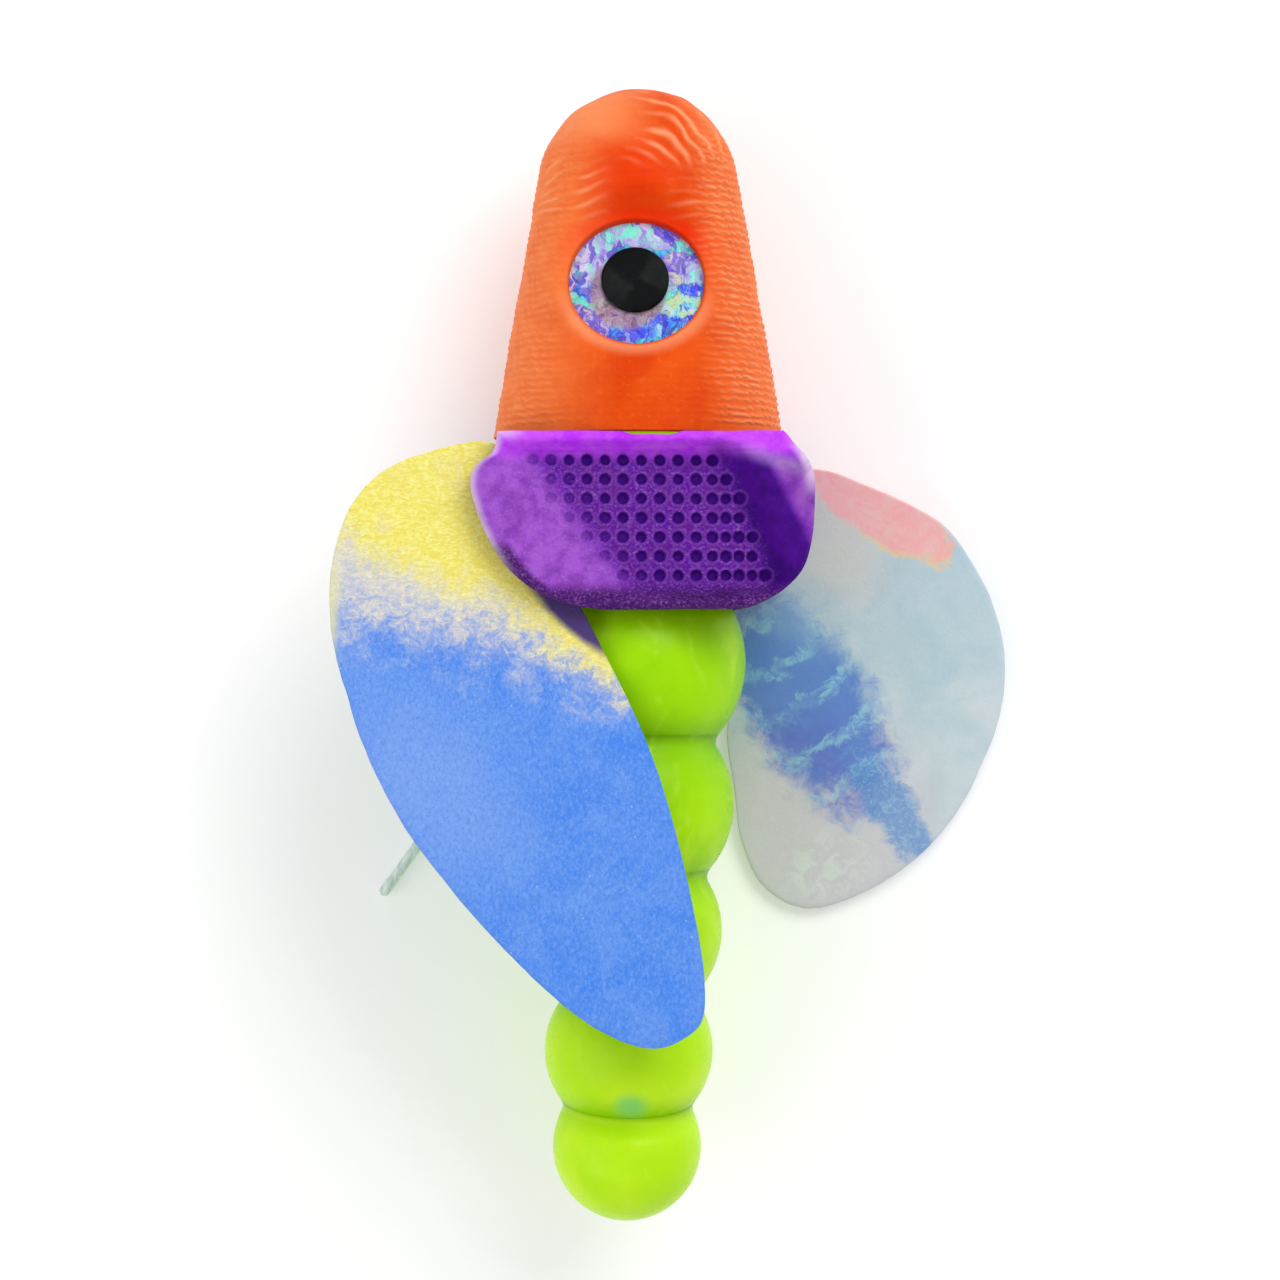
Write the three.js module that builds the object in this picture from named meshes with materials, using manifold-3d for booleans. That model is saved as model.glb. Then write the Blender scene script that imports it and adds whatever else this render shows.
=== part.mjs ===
// A jointed dragonfly toy with a one-eyed domed head, a soft saddle-shaped collar, a tail of nested beads
// and two film wings that sweep on pins in the collar.
//
// Millimetres. +Z is up, +Y runs from the tail to the head, +X is to the right when seen from above.
// The toy lies on the flat underside of its collar, and the origin is the middle of that face.
import * as THREE from "three";
import { mergeVertices } from "three/addons/utils/BufferGeometryUtils.js";
import Module from "manifold-3d";

// ---- Driving dimensions -------------------------------------------------------------------------------
const AXIS_Z = 10.6; // height of the body's axis
const FIT_GAP = 0.2; // clearance between nested moving pieces
const PIN_RADIUS = 0.5;
const PIN_CLEARANCE = 0.1;

// Tail: bead 0 is the ball on the thorax core, beads 1 to 5 follow it towards -Y.
const BEAD_RADII = [7.2, 8.09, 7.42, 6.69, 6.17, 5.44];
const BEAD_PITCH = [10.6, 10.4, 9.26, 8.8, 7.06]; // from each bead's centre to the next one's
const TAIL_LEAN = THREE.MathUtils.degToRad(-1); // the tail lies a little to the left
const FIRST_BALL_Y = 0.3;
const FIRST_SWING = THREE.MathUtils.degToRad(8);
const TAIL_SWING = THREE.MathUtils.degToRad(15);
const TONGUE = { width: 2, thickness: 1.6, eye: 1.2, step: 1.2, root: 1.2 };
const TAIL_PIN_RISE = 4.2; // how far a tail pin reaches above the axis

// Head
const HEAD = { baseY: 6.15, topY: 31.7, baseRadius: 10.45, shoulderY: 25.1, shoulderRadius: 7.3, flatten: 0.86 };
const SPIGOT = { radius: 5, endY: 12.3, bore: 5.15 };
const WEIGHT = { radius: 3, y: 16.2, bore: 3.15 };
const EYE = { x: -0.1, y: 16.75, seatZ: 15.7, tilt: THREE.MathUtils.degToRad(-12), radius: 5, pupil: 2.45 };
const NECK_RING = { startY: 5.78, thickness: 0.25, halfWidth: 10.05, halfHeight: 8.65, hole: 5.15 };

// Collar
const COLLAR = { top: 21, halfWidth: 12.6, halfLength: 6.3 };
const MOUTH = { halfWidth: 10.2, halfLength: 9, halfHeight: 8.5 }; // the cavity that bead 1 swings in
const CORE_CAVITY = 7.35;

// Wings: each pivots on a pin square to its blade, and the blade's plane is pitched about X.
const BLADE_THICKNESS = 0.4;
const SLOT_HEIGHT = 1.1;
const EYELET = { bore: 0.6, barrel: 1.1, flange: 1.8, flangeThickness: 0.2, height: 0.9, hole: 1.25 };
const WING_LEFT = { x: -9.4, y: 0.3, z: 18.32, pitch: THREE.MathUtils.degToRad(-5) };
const WING_RIGHT = { x: 9.4, y: -0.5, z: 1.93, pitch: THREE.MathUtils.degToRad(2) };

// Leg
const LEG_RADIUS = 0.4;
const LEG_BORE = 0.55;

// ---- Solids helpers -----------------------------------------------------------------------------------
const wasm = await Module();
wasm.setup();

function toSolid(geometry) {
  const bare = geometry.clone();
  bare.deleteAttribute("normal");
  bare.deleteAttribute("uv");
  const merged = mergeVertices(bare, 1e-4);
  return new wasm.Manifold(
    new wasm.Mesh({
      numProp: 3,
      vertProperties: merged.attributes.position.array,
      triVerts: new Uint32Array(merged.index.array),
    }),
  );
}

function toGeometry(solid) {
  const mesh = solid.getMesh();
  const positions = new Float32Array(mesh.numVert * 3);
  for (let i = 0; i < mesh.numVert; i++) {
    positions.set(mesh.vertProperties.subarray(i * mesh.numProp, i * mesh.numProp + 3), i * 3);
  }
  return new THREE.BufferGeometry()
    .setAttribute("position", new THREE.BufferAttribute(positions, 3))
    .setIndex(new THREE.BufferAttribute(mesh.triVerts, 1));
}

function sphereAt(radius, x, y, z, segments = 20) {
  return new THREE.SphereGeometry(radius, segments, Math.round(segments * 0.6)).translate(x, y, z);
}

// A cylinder along Y from startY to endY, on the body's axis.
function axialCylinder(radius, startY, endY, segments = 20) {
  return new THREE.CylinderGeometry(radius, radius, endY - startY, segments).translate(
    0,
    (startY + endY) / 2,
    AXIS_Z,
  );
}

// A cylinder along Z from bottom to top.
function uprightCylinder(radius, x, y, bottom, top, segments = 12) {
  return new THREE.CylinderGeometry(radius, radius, top - bottom, segments)
    .rotateX(Math.PI / 2)
    .translate(x, y, (bottom + top) / 2);
}

// A solid of revolution about Z from [radius, z] pairs that start and end on the axis, or close on themselves.
function turnedAboutZ(profile, segments) {
  const points = profile.map(([radius, z]) => new THREE.Vector2(radius, z));
  return new THREE.LatheGeometry(points, segments).rotateX(Math.PI / 2);
}

function closedCurve(points, samples) {
  const vertices = points.map(([x, y]) => new THREE.Vector3(x, y, 0));
  return new THREE.CatmullRomCurve3(vertices, true, "centripetal").getSpacedPoints(samples).slice(0, samples);
}

// A closed solid through rings of points; each ring has the same number of points, counter-clockwise from above.
function ringLoft(rings) {
  const count = rings[0].length;
  const positions = rings.flatMap((ring) => ring.flatMap((p) => [p.x, p.y, p.z]));
  const indices = [];
  for (let r = 0; r + 1 < rings.length; r++) {
    for (let i = 0; i < count; i++) {
      const a = r * count + i;
      const b = r * count + ((i + 1) % count);
      indices.push(a, b, b + count, a, b + count, a + count);
    }
  }
  const bottom = THREE.ShapeUtils.triangulateShape(rings[0].map((p) => new THREE.Vector2(p.x, p.y)), []);
  for (const [a, b, c] of bottom) indices.push(a, c, b);
  const last = (rings.length - 1) * count;
  const apex = positions.length / 3;
  const middle = rings[rings.length - 1].reduce((sum, p) => sum.add(p), new THREE.Vector3()).divideScalar(count);
  positions.push(middle.x, middle.y, middle.z);
  for (let i = 0; i < count; i++) indices.push(last + i, last + ((i + 1) % count), apex);
  return new THREE.BufferGeometry()
    .setAttribute("position", new THREE.Float32BufferAttribute(positions, 3))
    .setIndex(indices);
}

function slab(outline, bottom, height, holes = []) {
  const shape = new THREE.Shape(outline.map((p) => new THREE.Vector2(p.x ?? p[0], p.y ?? p[1])));
  shape.holes.push(...holes);
  return new THREE.ExtrudeGeometry(shape, { depth: height, bevelEnabled: false, curveSegments: 8 }).translate(
    0,
    0,
    bottom,
  );
}

function circlePath(radius, x = 0, y = 0) {
  return new THREE.Path().absarc(x, y, radius, 0, 2 * Math.PI, true);
}

// ---- Materials ----------------------------------------------------------------------------------------
const paint = (color, roughness, metalness = 0, extra = {}) =>
  new THREE.MeshStandardMaterial({ color, roughness, metalness, ...extra });
const MATERIALS = {
  head: paint(0xf05a12, 0.55),
  collar: paint(0x7a28c0, 0.6),
  lime: paint(0xa6e20a, 0.3),
  wingLeft: paint(0x5b8fee, 0.5),
  wingRight: paint(0xb4c4cc, 0.2),
  pearl: paint(0xd8e6dc, 0.3),
  steel: paint(0xb8bcc2, 0.3, 1),
  brass: paint(0xc9a24a, 0.35, 1),
  foil: paint(0x8a8ce0, 0.2, 0.7),
  pupil: paint(0x0a0c0d, 0.15),
  lens: paint(0xffffff, 0.05, 0, { transparent: true, opacity: 0.35 }),
};

const toy = new THREE.Group();

function addPiece(parent, name, geometry, material) {
  const mesh = new THREE.Mesh(geometry, material);
  mesh.name = name;
  parent.add(mesh);
  return mesh;
}

// ---- Tail ---------------------------------------------------------------------------------------------
// Built straight back from the first ball, in a group that is turned about that ball's upright axis.
const beadY = BEAD_PITCH.reduce((places, pitch) => [...places, places[places.length - 1] - pitch], [0]);
const jointZ = (joint) => AXIS_Z + (joint % 2 ? TONGUE.step : -TONGUE.step);

// The flat link on the front of a bead, with an eye round the pin in the bead ahead.
function tongue(bead) {
  const eyeY = beadY[bead - 1];
  const endY = eyeY - BEAD_RADII[bead - 1] - FIT_GAP - TONGUE.root;
  const turn = Math.acos(TONGUE.width / 2 / TONGUE.eye);
  const shape = new THREE.Shape();
  shape.moveTo(-TONGUE.width / 2, endY);
  shape.lineTo(TONGUE.width / 2, endY);
  shape.absarc(0, eyeY, TONGUE.eye, -turn, Math.PI + turn, false);
  shape.holes.push(circlePath(PIN_RADIUS + PIN_CLEARANCE, 0, eyeY));
  return new THREE.ExtrudeGeometry(shape, {
    depth: TONGUE.thickness,
    bevelEnabled: false,
    curveSegments: 6,
  }).translate(0, 0, jointZ(bead) - TONGUE.thickness / 2);
}

// The fan-shaped slot in the back of a bead that the next bead's tongue swings in.
function tongueSlot(bead, swing) {
  const height = TONGUE.thickness + 2 * FIT_GAP;
  const bottom = jointZ(bead + 1) - height / 2;
  const reach = BEAD_RADII[bead] + 1;
  const near = TONGUE.eye + 1.2 * FIT_GAP;
  const far = reach * Math.sin(swing) + TONGUE.width / 2 + 1.5 * FIT_GAP;
  const y = beadY[bead];
  const fan = [
    [-near, y],
    [-far, y - reach],
    [far, y - reach],
    [near, y],
  ];
  return toSolid(slab(fan, bottom, height)).add(
    toSolid(uprightCylinder(near, 0, y, bottom, bottom + height, 16)),
  );
}

// The blind hole for a tail pin, open at the bottom.
function pinHole(bead) {
  return toSolid(uprightCylinder(PIN_RADIUS + 0.08, 0, beadY[bead], -5, AXIS_Z + TAIL_PIN_RISE + 0.1));
}

function tailBead(bead) {
  let solid = toSolid(sphereAt(BEAD_RADII[bead], 0, beadY[bead], AXIS_Z))
    .subtract(toSolid(sphereAt(BEAD_RADII[bead - 1] + FIT_GAP, 0, beadY[bead - 1], AXIS_Z, 24)))
    .add(toSolid(tongue(bead)));
  if (bead + 1 < BEAD_RADII.length) {
    solid = solid.subtract(tongueSlot(bead, TAIL_SWING)).subtract(pinHole(bead));
  }
  return toGeometry(solid);
}

function tailPin(bead) {
  const bottom = AXIS_Z - BEAD_RADII[bead] + 0.8;
  return uprightCylinder(PIN_RADIUS, 0, beadY[bead], bottom, AXIS_Z + TAIL_PIN_RISE);
}

const tail = new THREE.Group();
tail.position.set(0, FIRST_BALL_Y, 0);
tail.rotation.z = TAIL_LEAN;
toy.add(tail);
for (let bead = 1; bead < BEAD_RADII.length; bead++) {
  addPiece(tail, `tail_bead_${bead}`, tailBead(bead), MATERIALS.lime);
  addPiece(tail, `tail_pin_${bead}`, tailPin(bead - 1), MATERIALS.steel);
}

// ---- Thorax core --------------------------------------------------------------------------------------
// A ball with a slot for the first tail bead, and a spigot that runs forwards into the head.
function thoraxCore() {
  const ball = toSolid(sphereAt(BEAD_RADII[0], 0, 0, AXIS_Z))
    .subtract(tongueSlot(0, FIRST_SWING))
    .subtract(pinHole(0));
  const spigot = toSolid(axialCylinder(SPIGOT.radius, 3 - FIRST_BALL_Y, SPIGOT.endY - FIRST_BALL_Y));
  return toGeometry(ball.add(spigot));
}
const core = addPiece(toy, "thorax_core", thoraxCore(), MATERIALS.lime);
core.position.y = FIRST_BALL_Y;

// The thin washer that shows between the collar and the head.
function neckRing() {
  const shape = new THREE.Shape().absellipse(0, 0, NECK_RING.halfWidth, NECK_RING.halfHeight, 0, 2 * Math.PI);
  shape.holes.push(circlePath(NECK_RING.hole));
  return new THREE.ExtrudeGeometry(shape, {
    depth: NECK_RING.thickness,
    bevelEnabled: false,
    curveSegments: 16,
  })
    .rotateX(Math.PI / 2)
    .translate(0, NECK_RING.startY + NECK_RING.thickness, AXIS_Z);
}
addPiece(toy, "neck_ring", neckRing(), MATERIALS.lime);

// ---- Head ---------------------------------------------------------------------------------------------
// A cone with a domed end, flattened a little, with a dished socket for the eye in its top.
function headShell() {
  const profile = [new THREE.Vector2(0, HEAD.baseY)];
  profile.push(new THREE.Vector2(HEAD.baseRadius - 0.4, HEAD.baseY));
  profile.push(new THREE.Vector2(HEAD.baseRadius, HEAD.baseY + 0.4));
  profile.push(new THREE.Vector2((HEAD.baseRadius + HEAD.shoulderRadius) / 2, (HEAD.baseY + HEAD.shoulderY) / 2));
  const domeSteps = 6;
  for (let i = 0; i <= domeSteps; i++) {
    const angle = ((Math.PI / 2) * i) / domeSteps;
    const rise = (HEAD.topY - HEAD.shoulderY) * Math.sin(angle);
    profile.push(new THREE.Vector2(HEAD.shoulderRadius * Math.cos(angle), HEAD.shoulderY + rise));
  }
  profile[profile.length - 1].x = 0;
  const dome = new THREE.LatheGeometry(profile, 32).scale(1, 1, HEAD.flatten).translate(0, 0, AXIS_Z);
  const socket = uprightCylinder(EYE.radius + 0.15, 0, 0, 0, 8, 28).rotateX(EYE.tilt);
  return toGeometry(
    toSolid(dome)
      .subtract(toSolid(axialCylinder(SPIGOT.bore, HEAD.baseY - 1, SPIGOT.endY + 0.3)))
      .subtract(toSolid(axialCylinder(WEIGHT.bore, SPIGOT.endY - 1, WEIGHT.y, 16)))
      .subtract(toSolid(sphereAt(WEIGHT.bore, 0, WEIGHT.y, AXIS_Z, 16)))
      .subtract(toSolid(socket.translate(EYE.x, EYE.y, EYE.seatZ))),
  );
}
addPiece(toy, "head_shell", headShell(), MATERIALS.head);
addPiece(toy, "nose_weight", sphereAt(WEIGHT.radius, 0, WEIGHT.y, AXIS_Z, 14), MATERIALS.steel);

// The eye's pieces are stacked along the eye's own axis, from the seat of its socket.
const eye = new THREE.Group();
eye.position.set(EYE.x, EYE.y, EYE.seatZ);
eye.rotation.x = EYE.tilt;
toy.add(eye);

function eyeLens() {
  const bottom = 0.5;
  const pocket = 0.85;
  const rim = 0.8;
  const crown = 1.7;
  const profile = [
    [0, pocket],
    [EYE.pupil + 0.15, pocket],
    [EYE.pupil + 0.15, bottom],
    [EYE.radius, bottom],
    [EYE.radius, rim],
  ];
  const steps = 4;
  for (let i = 1; i < steps; i++) {
    const share = 1 - i / steps;
    profile.push([EYE.radius * share, rim + (crown - rim) * (1 - share * share)]);
  }
  profile.push([0, crown]);
  return turnedAboutZ(profile, 28);
}
addPiece(eye, "eye_foil", uprightCylinder(EYE.radius, 0, 0, 0.1, 0.45, 28), MATERIALS.foil);
addPiece(eye, "eye_pupil", uprightCylinder(EYE.pupil, 0, 0, 0.5, 0.8, 24), MATERIALS.pupil);
addPiece(eye, "eye_lens", eyeLens(), MATERIALS.lens);

// ---- Collar -------------------------------------------------------------------------------------------
// Outlines run counter-clockwise as seen from above.
const COLLAR_OUTLINE = [
  [-11.7, 4.3],
  [-12.3, 2.2],
  [-11.3, -1.2],
  [-9.6, -3.9],
  [-7.2, -5.6],
  [-3.9, -6.5],
  [0, -6.6],
  [7.9, -6.55],
  [10.9, -5.3],
  [12.3, -3.2],
  [12.6, 0],
  [12.8, 3],
  [12.2, 4.5],
  [10.4, 5.65],
  [8, 5.65],
  [-8, 5.65],
  [-10.3, 5.65],
];

const smooth = (value) => {
  const t = THREE.MathUtils.clamp(value, 0, 1);
  return t * t * (3 - 2 * t);
};

// Height of the collar's top, with the scooped panel between its side ridges.
function collarTop(x, y) {
  const leftEdge = -4.7 - 0.6 * y;
  const rightEdge = 7.8 - 0.33 * y;
  const across = smooth((x - leftEdge + 3.5) / 4) * smooth((rightEdge + 2.5 - x) / 2.5);
  const along = smooth((5.9 - y) / 1.2) * smooth((y + 5.9) / 1.3);
  const depth = THREE.MathUtils.mapLinear(THREE.MathUtils.clamp(x, -5, 7), -5, 7, 1.2, 2.1);
  return COLLAR.top - depth * across * along;
}

function collarBlock() {
  const outline = closedCurve(COLLAR_OUTLINE, 48);
  const inset = (amount, z) =>
    outline.map(
      (p) =>
        new THREE.Vector3(p.x * (1 - amount / COLLAR.halfWidth), p.y * (1 - amount / COLLAR.halfLength), z),
    );
  const rings = [inset(0.8, 0), inset(0.25, 0.3), inset(0, 1), inset(0, 17.6), inset(0.25, 19), inset(0.7, 20)];
  for (const amount of [1.3, 2.2, 3.2, 4.2, 5.2]) {
    rings.push(inset(amount, 0).map((p) => p.setZ(collarTop(p.x, p.y) - (amount < 2 ? 0.25 : 0))));
  }
  const block = ringLoft(rings);
  return toSolid(block);
}

// A slot in the plane of a wing's blade, cut over an outline given from the pivot.
function wingSlot(wing, outline) {
  return toSolid(
    slab(outline, -SLOT_HEIGHT / 2, SLOT_HEIGHT).rotateX(wing.pitch).translate(wing.x, wing.y, wing.z),
  );
}

const LEFT_SLOT = [
  [3, 8],
  [-6, 8],
  [-6, -9],
  [8.2, -9],
];
const RIGHT_SLOT = [
  [-4.8, 8],
  [-4.8, -9],
  [6, -9],
  [6, 8],
];

function wingPinGeometry(wing, below, above, radius) {
  return uprightCylinder(radius, 0, 0, -below, above).rotateX(wing.pitch).translate(wing.x, wing.y, wing.z);
}
const LEFT_PIN = { below: 5, above: 1.7 };
const RIGHT_PIN = { below: 1.3, above: 5 };

function legPath() {
  return new THREE.CatmullRomCurve3([
    new THREE.Vector3(-9.2, -1.2, 5.2),
    new THREE.Vector3(-10.4, -5.2, 4.1),
    new THREE.Vector3(-12, -14, 2.3),
    new THREE.Vector3(-13.4, -19.3, 1.8),
    new THREE.Vector3(-16.6, -24, 1.2),
    new THREE.Vector3(-19.5, -28, 0.6),
  ]);
}

function sweptRod(path, radius, steps) {
  const section = new THREE.Shape().absarc(0, 0, radius, 0, 2 * Math.PI);
  return new THREE.ExtrudeGeometry(section, { steps, extrudePath: path, curveSegments: 5 });
}

function collar() {
  const mouth = new THREE.SphereGeometry(1, 28, 16)
    .scale(MOUTH.halfWidth, MOUTH.halfLength, MOUTH.halfHeight)
    .translate(0, FIRST_BALL_Y - BEAD_PITCH[0], AXIS_Z);
  const legBore = new THREE.CylinderGeometry(LEG_BORE, LEG_BORE, 12, 12);
  const path = legPath();
  const start = path.getPoint(0);
  const direction = path.getPoint(0.12).sub(start).normalize();
  legBore.applyQuaternion(new THREE.Quaternion().setFromUnitVectors(new THREE.Vector3(0, 1, 0), direction));
  legBore.translate(...start.clone().addScaledVector(direction, 5.7).toArray());
  return toGeometry(
    collarBlock()
      .subtract(toSolid(sphereAt(CORE_CAVITY, 0, FIRST_BALL_Y, AXIS_Z, 24)))
      .subtract(toSolid(mouth))
      .subtract(toSolid(axialCylinder(SPIGOT.bore, 0, 8)))
      .subtract(wingSlot(WING_LEFT, LEFT_SLOT))
      .subtract(wingSlot(WING_RIGHT, RIGHT_SLOT))
      .subtract(toSolid(wingPinGeometry(WING_LEFT, LEFT_PIN.below + 0.1, LEFT_PIN.above + 0.1, PIN_RADIUS + 0.08)))
      .subtract(toSolid(wingPinGeometry(WING_RIGHT, RIGHT_PIN.below + 0.1, RIGHT_PIN.above + 0.1, PIN_RADIUS + 0.08)))
      .subtract(toSolid(legBore)),
  );
}
addPiece(toy, "collar", collar(), MATERIALS.collar);
addPiece(
  toy,
  "wing_pin_left",
  wingPinGeometry(WING_LEFT, LEFT_PIN.below, LEFT_PIN.above, PIN_RADIUS),
  MATERIALS.steel,
);
addPiece(
  toy,
  "wing_pin_right",
  wingPinGeometry(WING_RIGHT, RIGHT_PIN.below, RIGHT_PIN.above, PIN_RADIUS),
  MATERIALS.steel,
);
addPiece(toy, "leg", sweptRod(legPath(), LEG_RADIUS, 16), MATERIALS.pearl);

// ---- Wings --------------------------------------------------------------------------------------------
// Blade outlines in the blade's own plane, from the pivot.
const LEFT_BLADE = [
  [-0.9, 5],
  [-5.05, 4.5],
  [-8.75, 2.95],
  [-11.15, 0.1],
  [-12.45, -6.1],
  [-10.85, -13.9],
  [-7.3, -21.7],
  [0.25, -31],
  [6.9, -36.5],
  [10.9, -37.6],
  [13.7, -36.1],
  [14.05, -33],
  [12.05, -22.6],
  [9.9, -16],
  [6.25, -8.4],
  [3.6, -3.4],
  [2.4, 0],
  [1, 3.2],
];
const RIGHT_BLADE = [
  [0.4, 4.1],
  [-3, 0.3],
  [-2.7, -4],
  [-1.9, -10],
  [-2.6, -15.6],
  [-2, -19.8],
  [-1.5, -23.6],
  [0.3, -27.2],
  [3.4, -28.75],
  [7.6, -27.7],
  [13.35, -23.5],
  [17.25, -16.9],
  [18.65, -11.2],
  [17.95, -6.2],
  [14.6, -0.1],
  [12.1, 1.75],
  [8.5, 3.4],
  [4.3, 4.85],
];

function blade(outline) {
  const bottom = -BLADE_THICKNESS / 2;
  return slab(closedCurve(outline, 60), bottom, BLADE_THICKNESS, [circlePath(EYELET.hole)]);
}

// A flanged ring that is riveted into the blade's hole and turns on the pin.
function eyelet() {
  const half = EYELET.height / 2;
  const inner = half - EYELET.flangeThickness;
  const profile = [
    [EYELET.bore, -half],
    [EYELET.flange, -half],
    [EYELET.flange, -inner],
    [EYELET.barrel, -inner],
    [EYELET.barrel, inner],
    [EYELET.flange, inner],
    [EYELET.flange, half],
    [EYELET.bore, half],
    [EYELET.bore, -half],
  ];
  return turnedAboutZ(profile, 16);
}

function addWing(side, wing, outline, material) {
  const group = new THREE.Group();
  group.position.set(wing.x, wing.y, wing.z);
  group.rotation.x = wing.pitch;
  toy.add(group);
  addPiece(group, `wing_blade_${side}`, blade(outline), material);
  addPiece(group, `wing_eyelet_${side}`, eyelet(), MATERIALS.brass);
}
addWing("left", WING_LEFT, LEFT_BLADE, MATERIALS.wingLeft);
addWing("right", WING_RIGHT, RIGHT_BLADE, MATERIALS.wingRight);

export default toy;
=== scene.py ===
"""The looks of a jointed dragonfly toy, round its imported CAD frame. Helper lengths are in millimetres."""

import math

import bpy
import numpy as np
from mathutils import Matrix, Vector


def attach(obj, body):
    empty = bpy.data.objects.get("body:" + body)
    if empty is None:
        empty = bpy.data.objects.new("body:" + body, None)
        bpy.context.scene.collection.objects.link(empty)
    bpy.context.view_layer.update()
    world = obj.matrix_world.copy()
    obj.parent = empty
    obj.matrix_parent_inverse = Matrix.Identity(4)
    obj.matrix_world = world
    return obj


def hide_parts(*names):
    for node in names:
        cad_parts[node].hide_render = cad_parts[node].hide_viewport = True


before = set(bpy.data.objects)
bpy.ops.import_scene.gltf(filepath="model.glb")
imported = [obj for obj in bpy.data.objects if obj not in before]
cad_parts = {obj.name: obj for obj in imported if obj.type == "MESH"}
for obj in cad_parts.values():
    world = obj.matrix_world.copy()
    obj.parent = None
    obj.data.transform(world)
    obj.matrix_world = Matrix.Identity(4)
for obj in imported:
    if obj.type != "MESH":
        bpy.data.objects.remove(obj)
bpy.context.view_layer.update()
MM = 0.001

# ---- Shared dimensions, as in the CAD ----
AXIS_Z = 10.6
BEAD_RADII = [7.2, 8.09, 7.42, 6.69, 6.17, 5.44]
BEAD_PITCH = [10.6, 10.4, 9.26, 8.8, 7.06]
TAIL_LEAN = math.radians(-1)
FIRST_BALL_Y = 0.3
EYE = Matrix.Translation((-0.1, 16.75, 15.7)) @ Matrix.Rotation(math.radians(-12), 4, "X")
WING_LEFT = Matrix.Translation((-9.4, 0.3, 18.32)) @ Matrix.Rotation(math.radians(-5), 4, "X")
WING_RIGHT = Matrix.Translation((9.4, -0.5, 1.93)) @ Matrix.Rotation(math.radians(2), 4, "X")
LEFT_BLADE = [
    (-0.9, 5), (-5.05, 4.5), (-8.75, 2.95), (-11.15, 0.1), (-12.45, -6.1), (-10.85, -13.9),
    (-7.3, -21.7), (0.25, -31), (6.9, -36.5), (10.9, -37.6), (13.7, -36.1), (14.05, -33), (12.05, -22.6),
    (9.9, -16), (6.25, -8.4), (3.6, -3.4), (2.4, 0), (1, 3.2),
]
RIGHT_BLADE = [
    (0.4, 4.1), (-3, 0.3), (-2.7, -4), (-1.9, -10), (-2.6, -15.6), (-2, -19.8), (-1.5, -23.6),
    (0.3, -27.2), (3.4, -28.75), (7.6, -27.7), (13.35, -23.5), (17.25, -16.9), (18.65, -11.2),
    (17.95, -6.2), (14.6, -0.1), (12.1, 1.75), (8.5, 3.4), (4.3, 4.85),
]


# ---- Maths helpers ----
def step(low, high, value):
    t = np.clip((np.asarray(value, float) - low) / (high - low), 0, 1)
    return t * t * (3 - 2 * t)


LATTICE = np.random.RandomState(7).rand(32, 32, 32)


def value_noise(x, y, z, pitch, shift=0.0):
    """Smooth noise from -1 to 1 with features of the given pitch."""
    total = 0
    fractions, cells = [], []
    for c in (x, y, z):
        c = np.asarray(c, float) / pitch + 100 + shift
        cell = np.floor(c)
        f = c - cell
        fractions.append(f * f * (3 - 2 * f))
        cells.append(cell.astype(int))
    for corner in np.ndindex(2, 2, 2):
        weight = 1
        for i, f in zip(corner, fractions):
            weight = weight * (f if i else 1 - f)
        total = total + weight * LATTICE[tuple((cell + i) % 32 for cell, i in zip(cells, corner))]
    return total * 2 - 1


def line_noise(x, pitch, shift=0.0):
    return value_noise(x, 0 * x, 0 * x, pitch, shift)


def flat_noise(x, y, pitch, shift=0.0):
    return value_noise(x, y, 0 * x, pitch, shift)


def crests(turns):
    """A cosine from 0 to 1 with its crests at whole numbers."""
    return 0.5 + 0.5 * np.cos(2 * math.pi * turns)


SPAN_STEPS = 24


def catmull(points, closed):
    """A centripetal Catmull-Rom curve through the points."""
    p = np.array(points, float)
    n = len(p)
    out = []
    for i in range(n if closed else n - 1):
        if closed:
            a, b, c, d = (p[(i + k) % n] for k in (-1, 0, 1, 2))
        else:
            b, c = p[i], p[i + 1]
            a = p[i - 1] if i else 2 * b - c
            d = p[i + 2] if i + 2 < n else 2 * c - b
        d0, d1, d2 = (max(np.linalg.norm(v - u) ** 0.5, 1e-4) for u, v in ((a, b), (b, c), (c, d)))
        t1 = ((b - a) / d0 - (c - a) / (d0 + d1) + (c - b) / d1) * d1
        t2 = ((c - b) / d1 - (d - b) / (d1 + d2) + (d - c) / d2) * d1
        for s in np.arange(SPAN_STEPS) / SPAN_STEPS:
            ends = b * (2 * s**3 - 3 * s**2 + 1) + c * (3 * s**2 - 2 * s**3)
            out.append(ends + t1 * (s**3 - 2 * s**2 + s) + t2 * (s**3 - s**2))
    if not closed:
        out.append(p[-1])
    return np.array(out)


def even(points, count, closed):
    """The same curve with evenly spaced points."""
    p = np.vstack([points, points[:1]]) if closed else points
    run = np.concatenate([[0], np.cumsum(np.linalg.norm(np.diff(p, axis=0), axis=1))])
    at = np.linspace(0, run[-1], count + 1)[:count] if closed else np.linspace(0, run[-1], count)
    return np.stack([np.interp(at, run, p[:, k]) for k in range(p.shape[1])], axis=1)


def placed(points, matrix):
    m = np.array(matrix)
    return points @ m[:3, :3].T + m[:3, 3]


# ---- Mesh helpers ----
def band_faces(rows, columns, wrap=True, start=0):
    """Quads between rows of points that are laid out row after row."""
    i = np.arange(rows - 1)[:, None] * columns
    j = np.arange(columns if wrap else columns - 1)[None, :]
    k = (j + 1) % columns
    quads = np.stack([i + j, i + k, i + columns + k, i + columns + j], axis=-1)
    return (quads + start).reshape(-1, 4).tolist()


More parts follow.
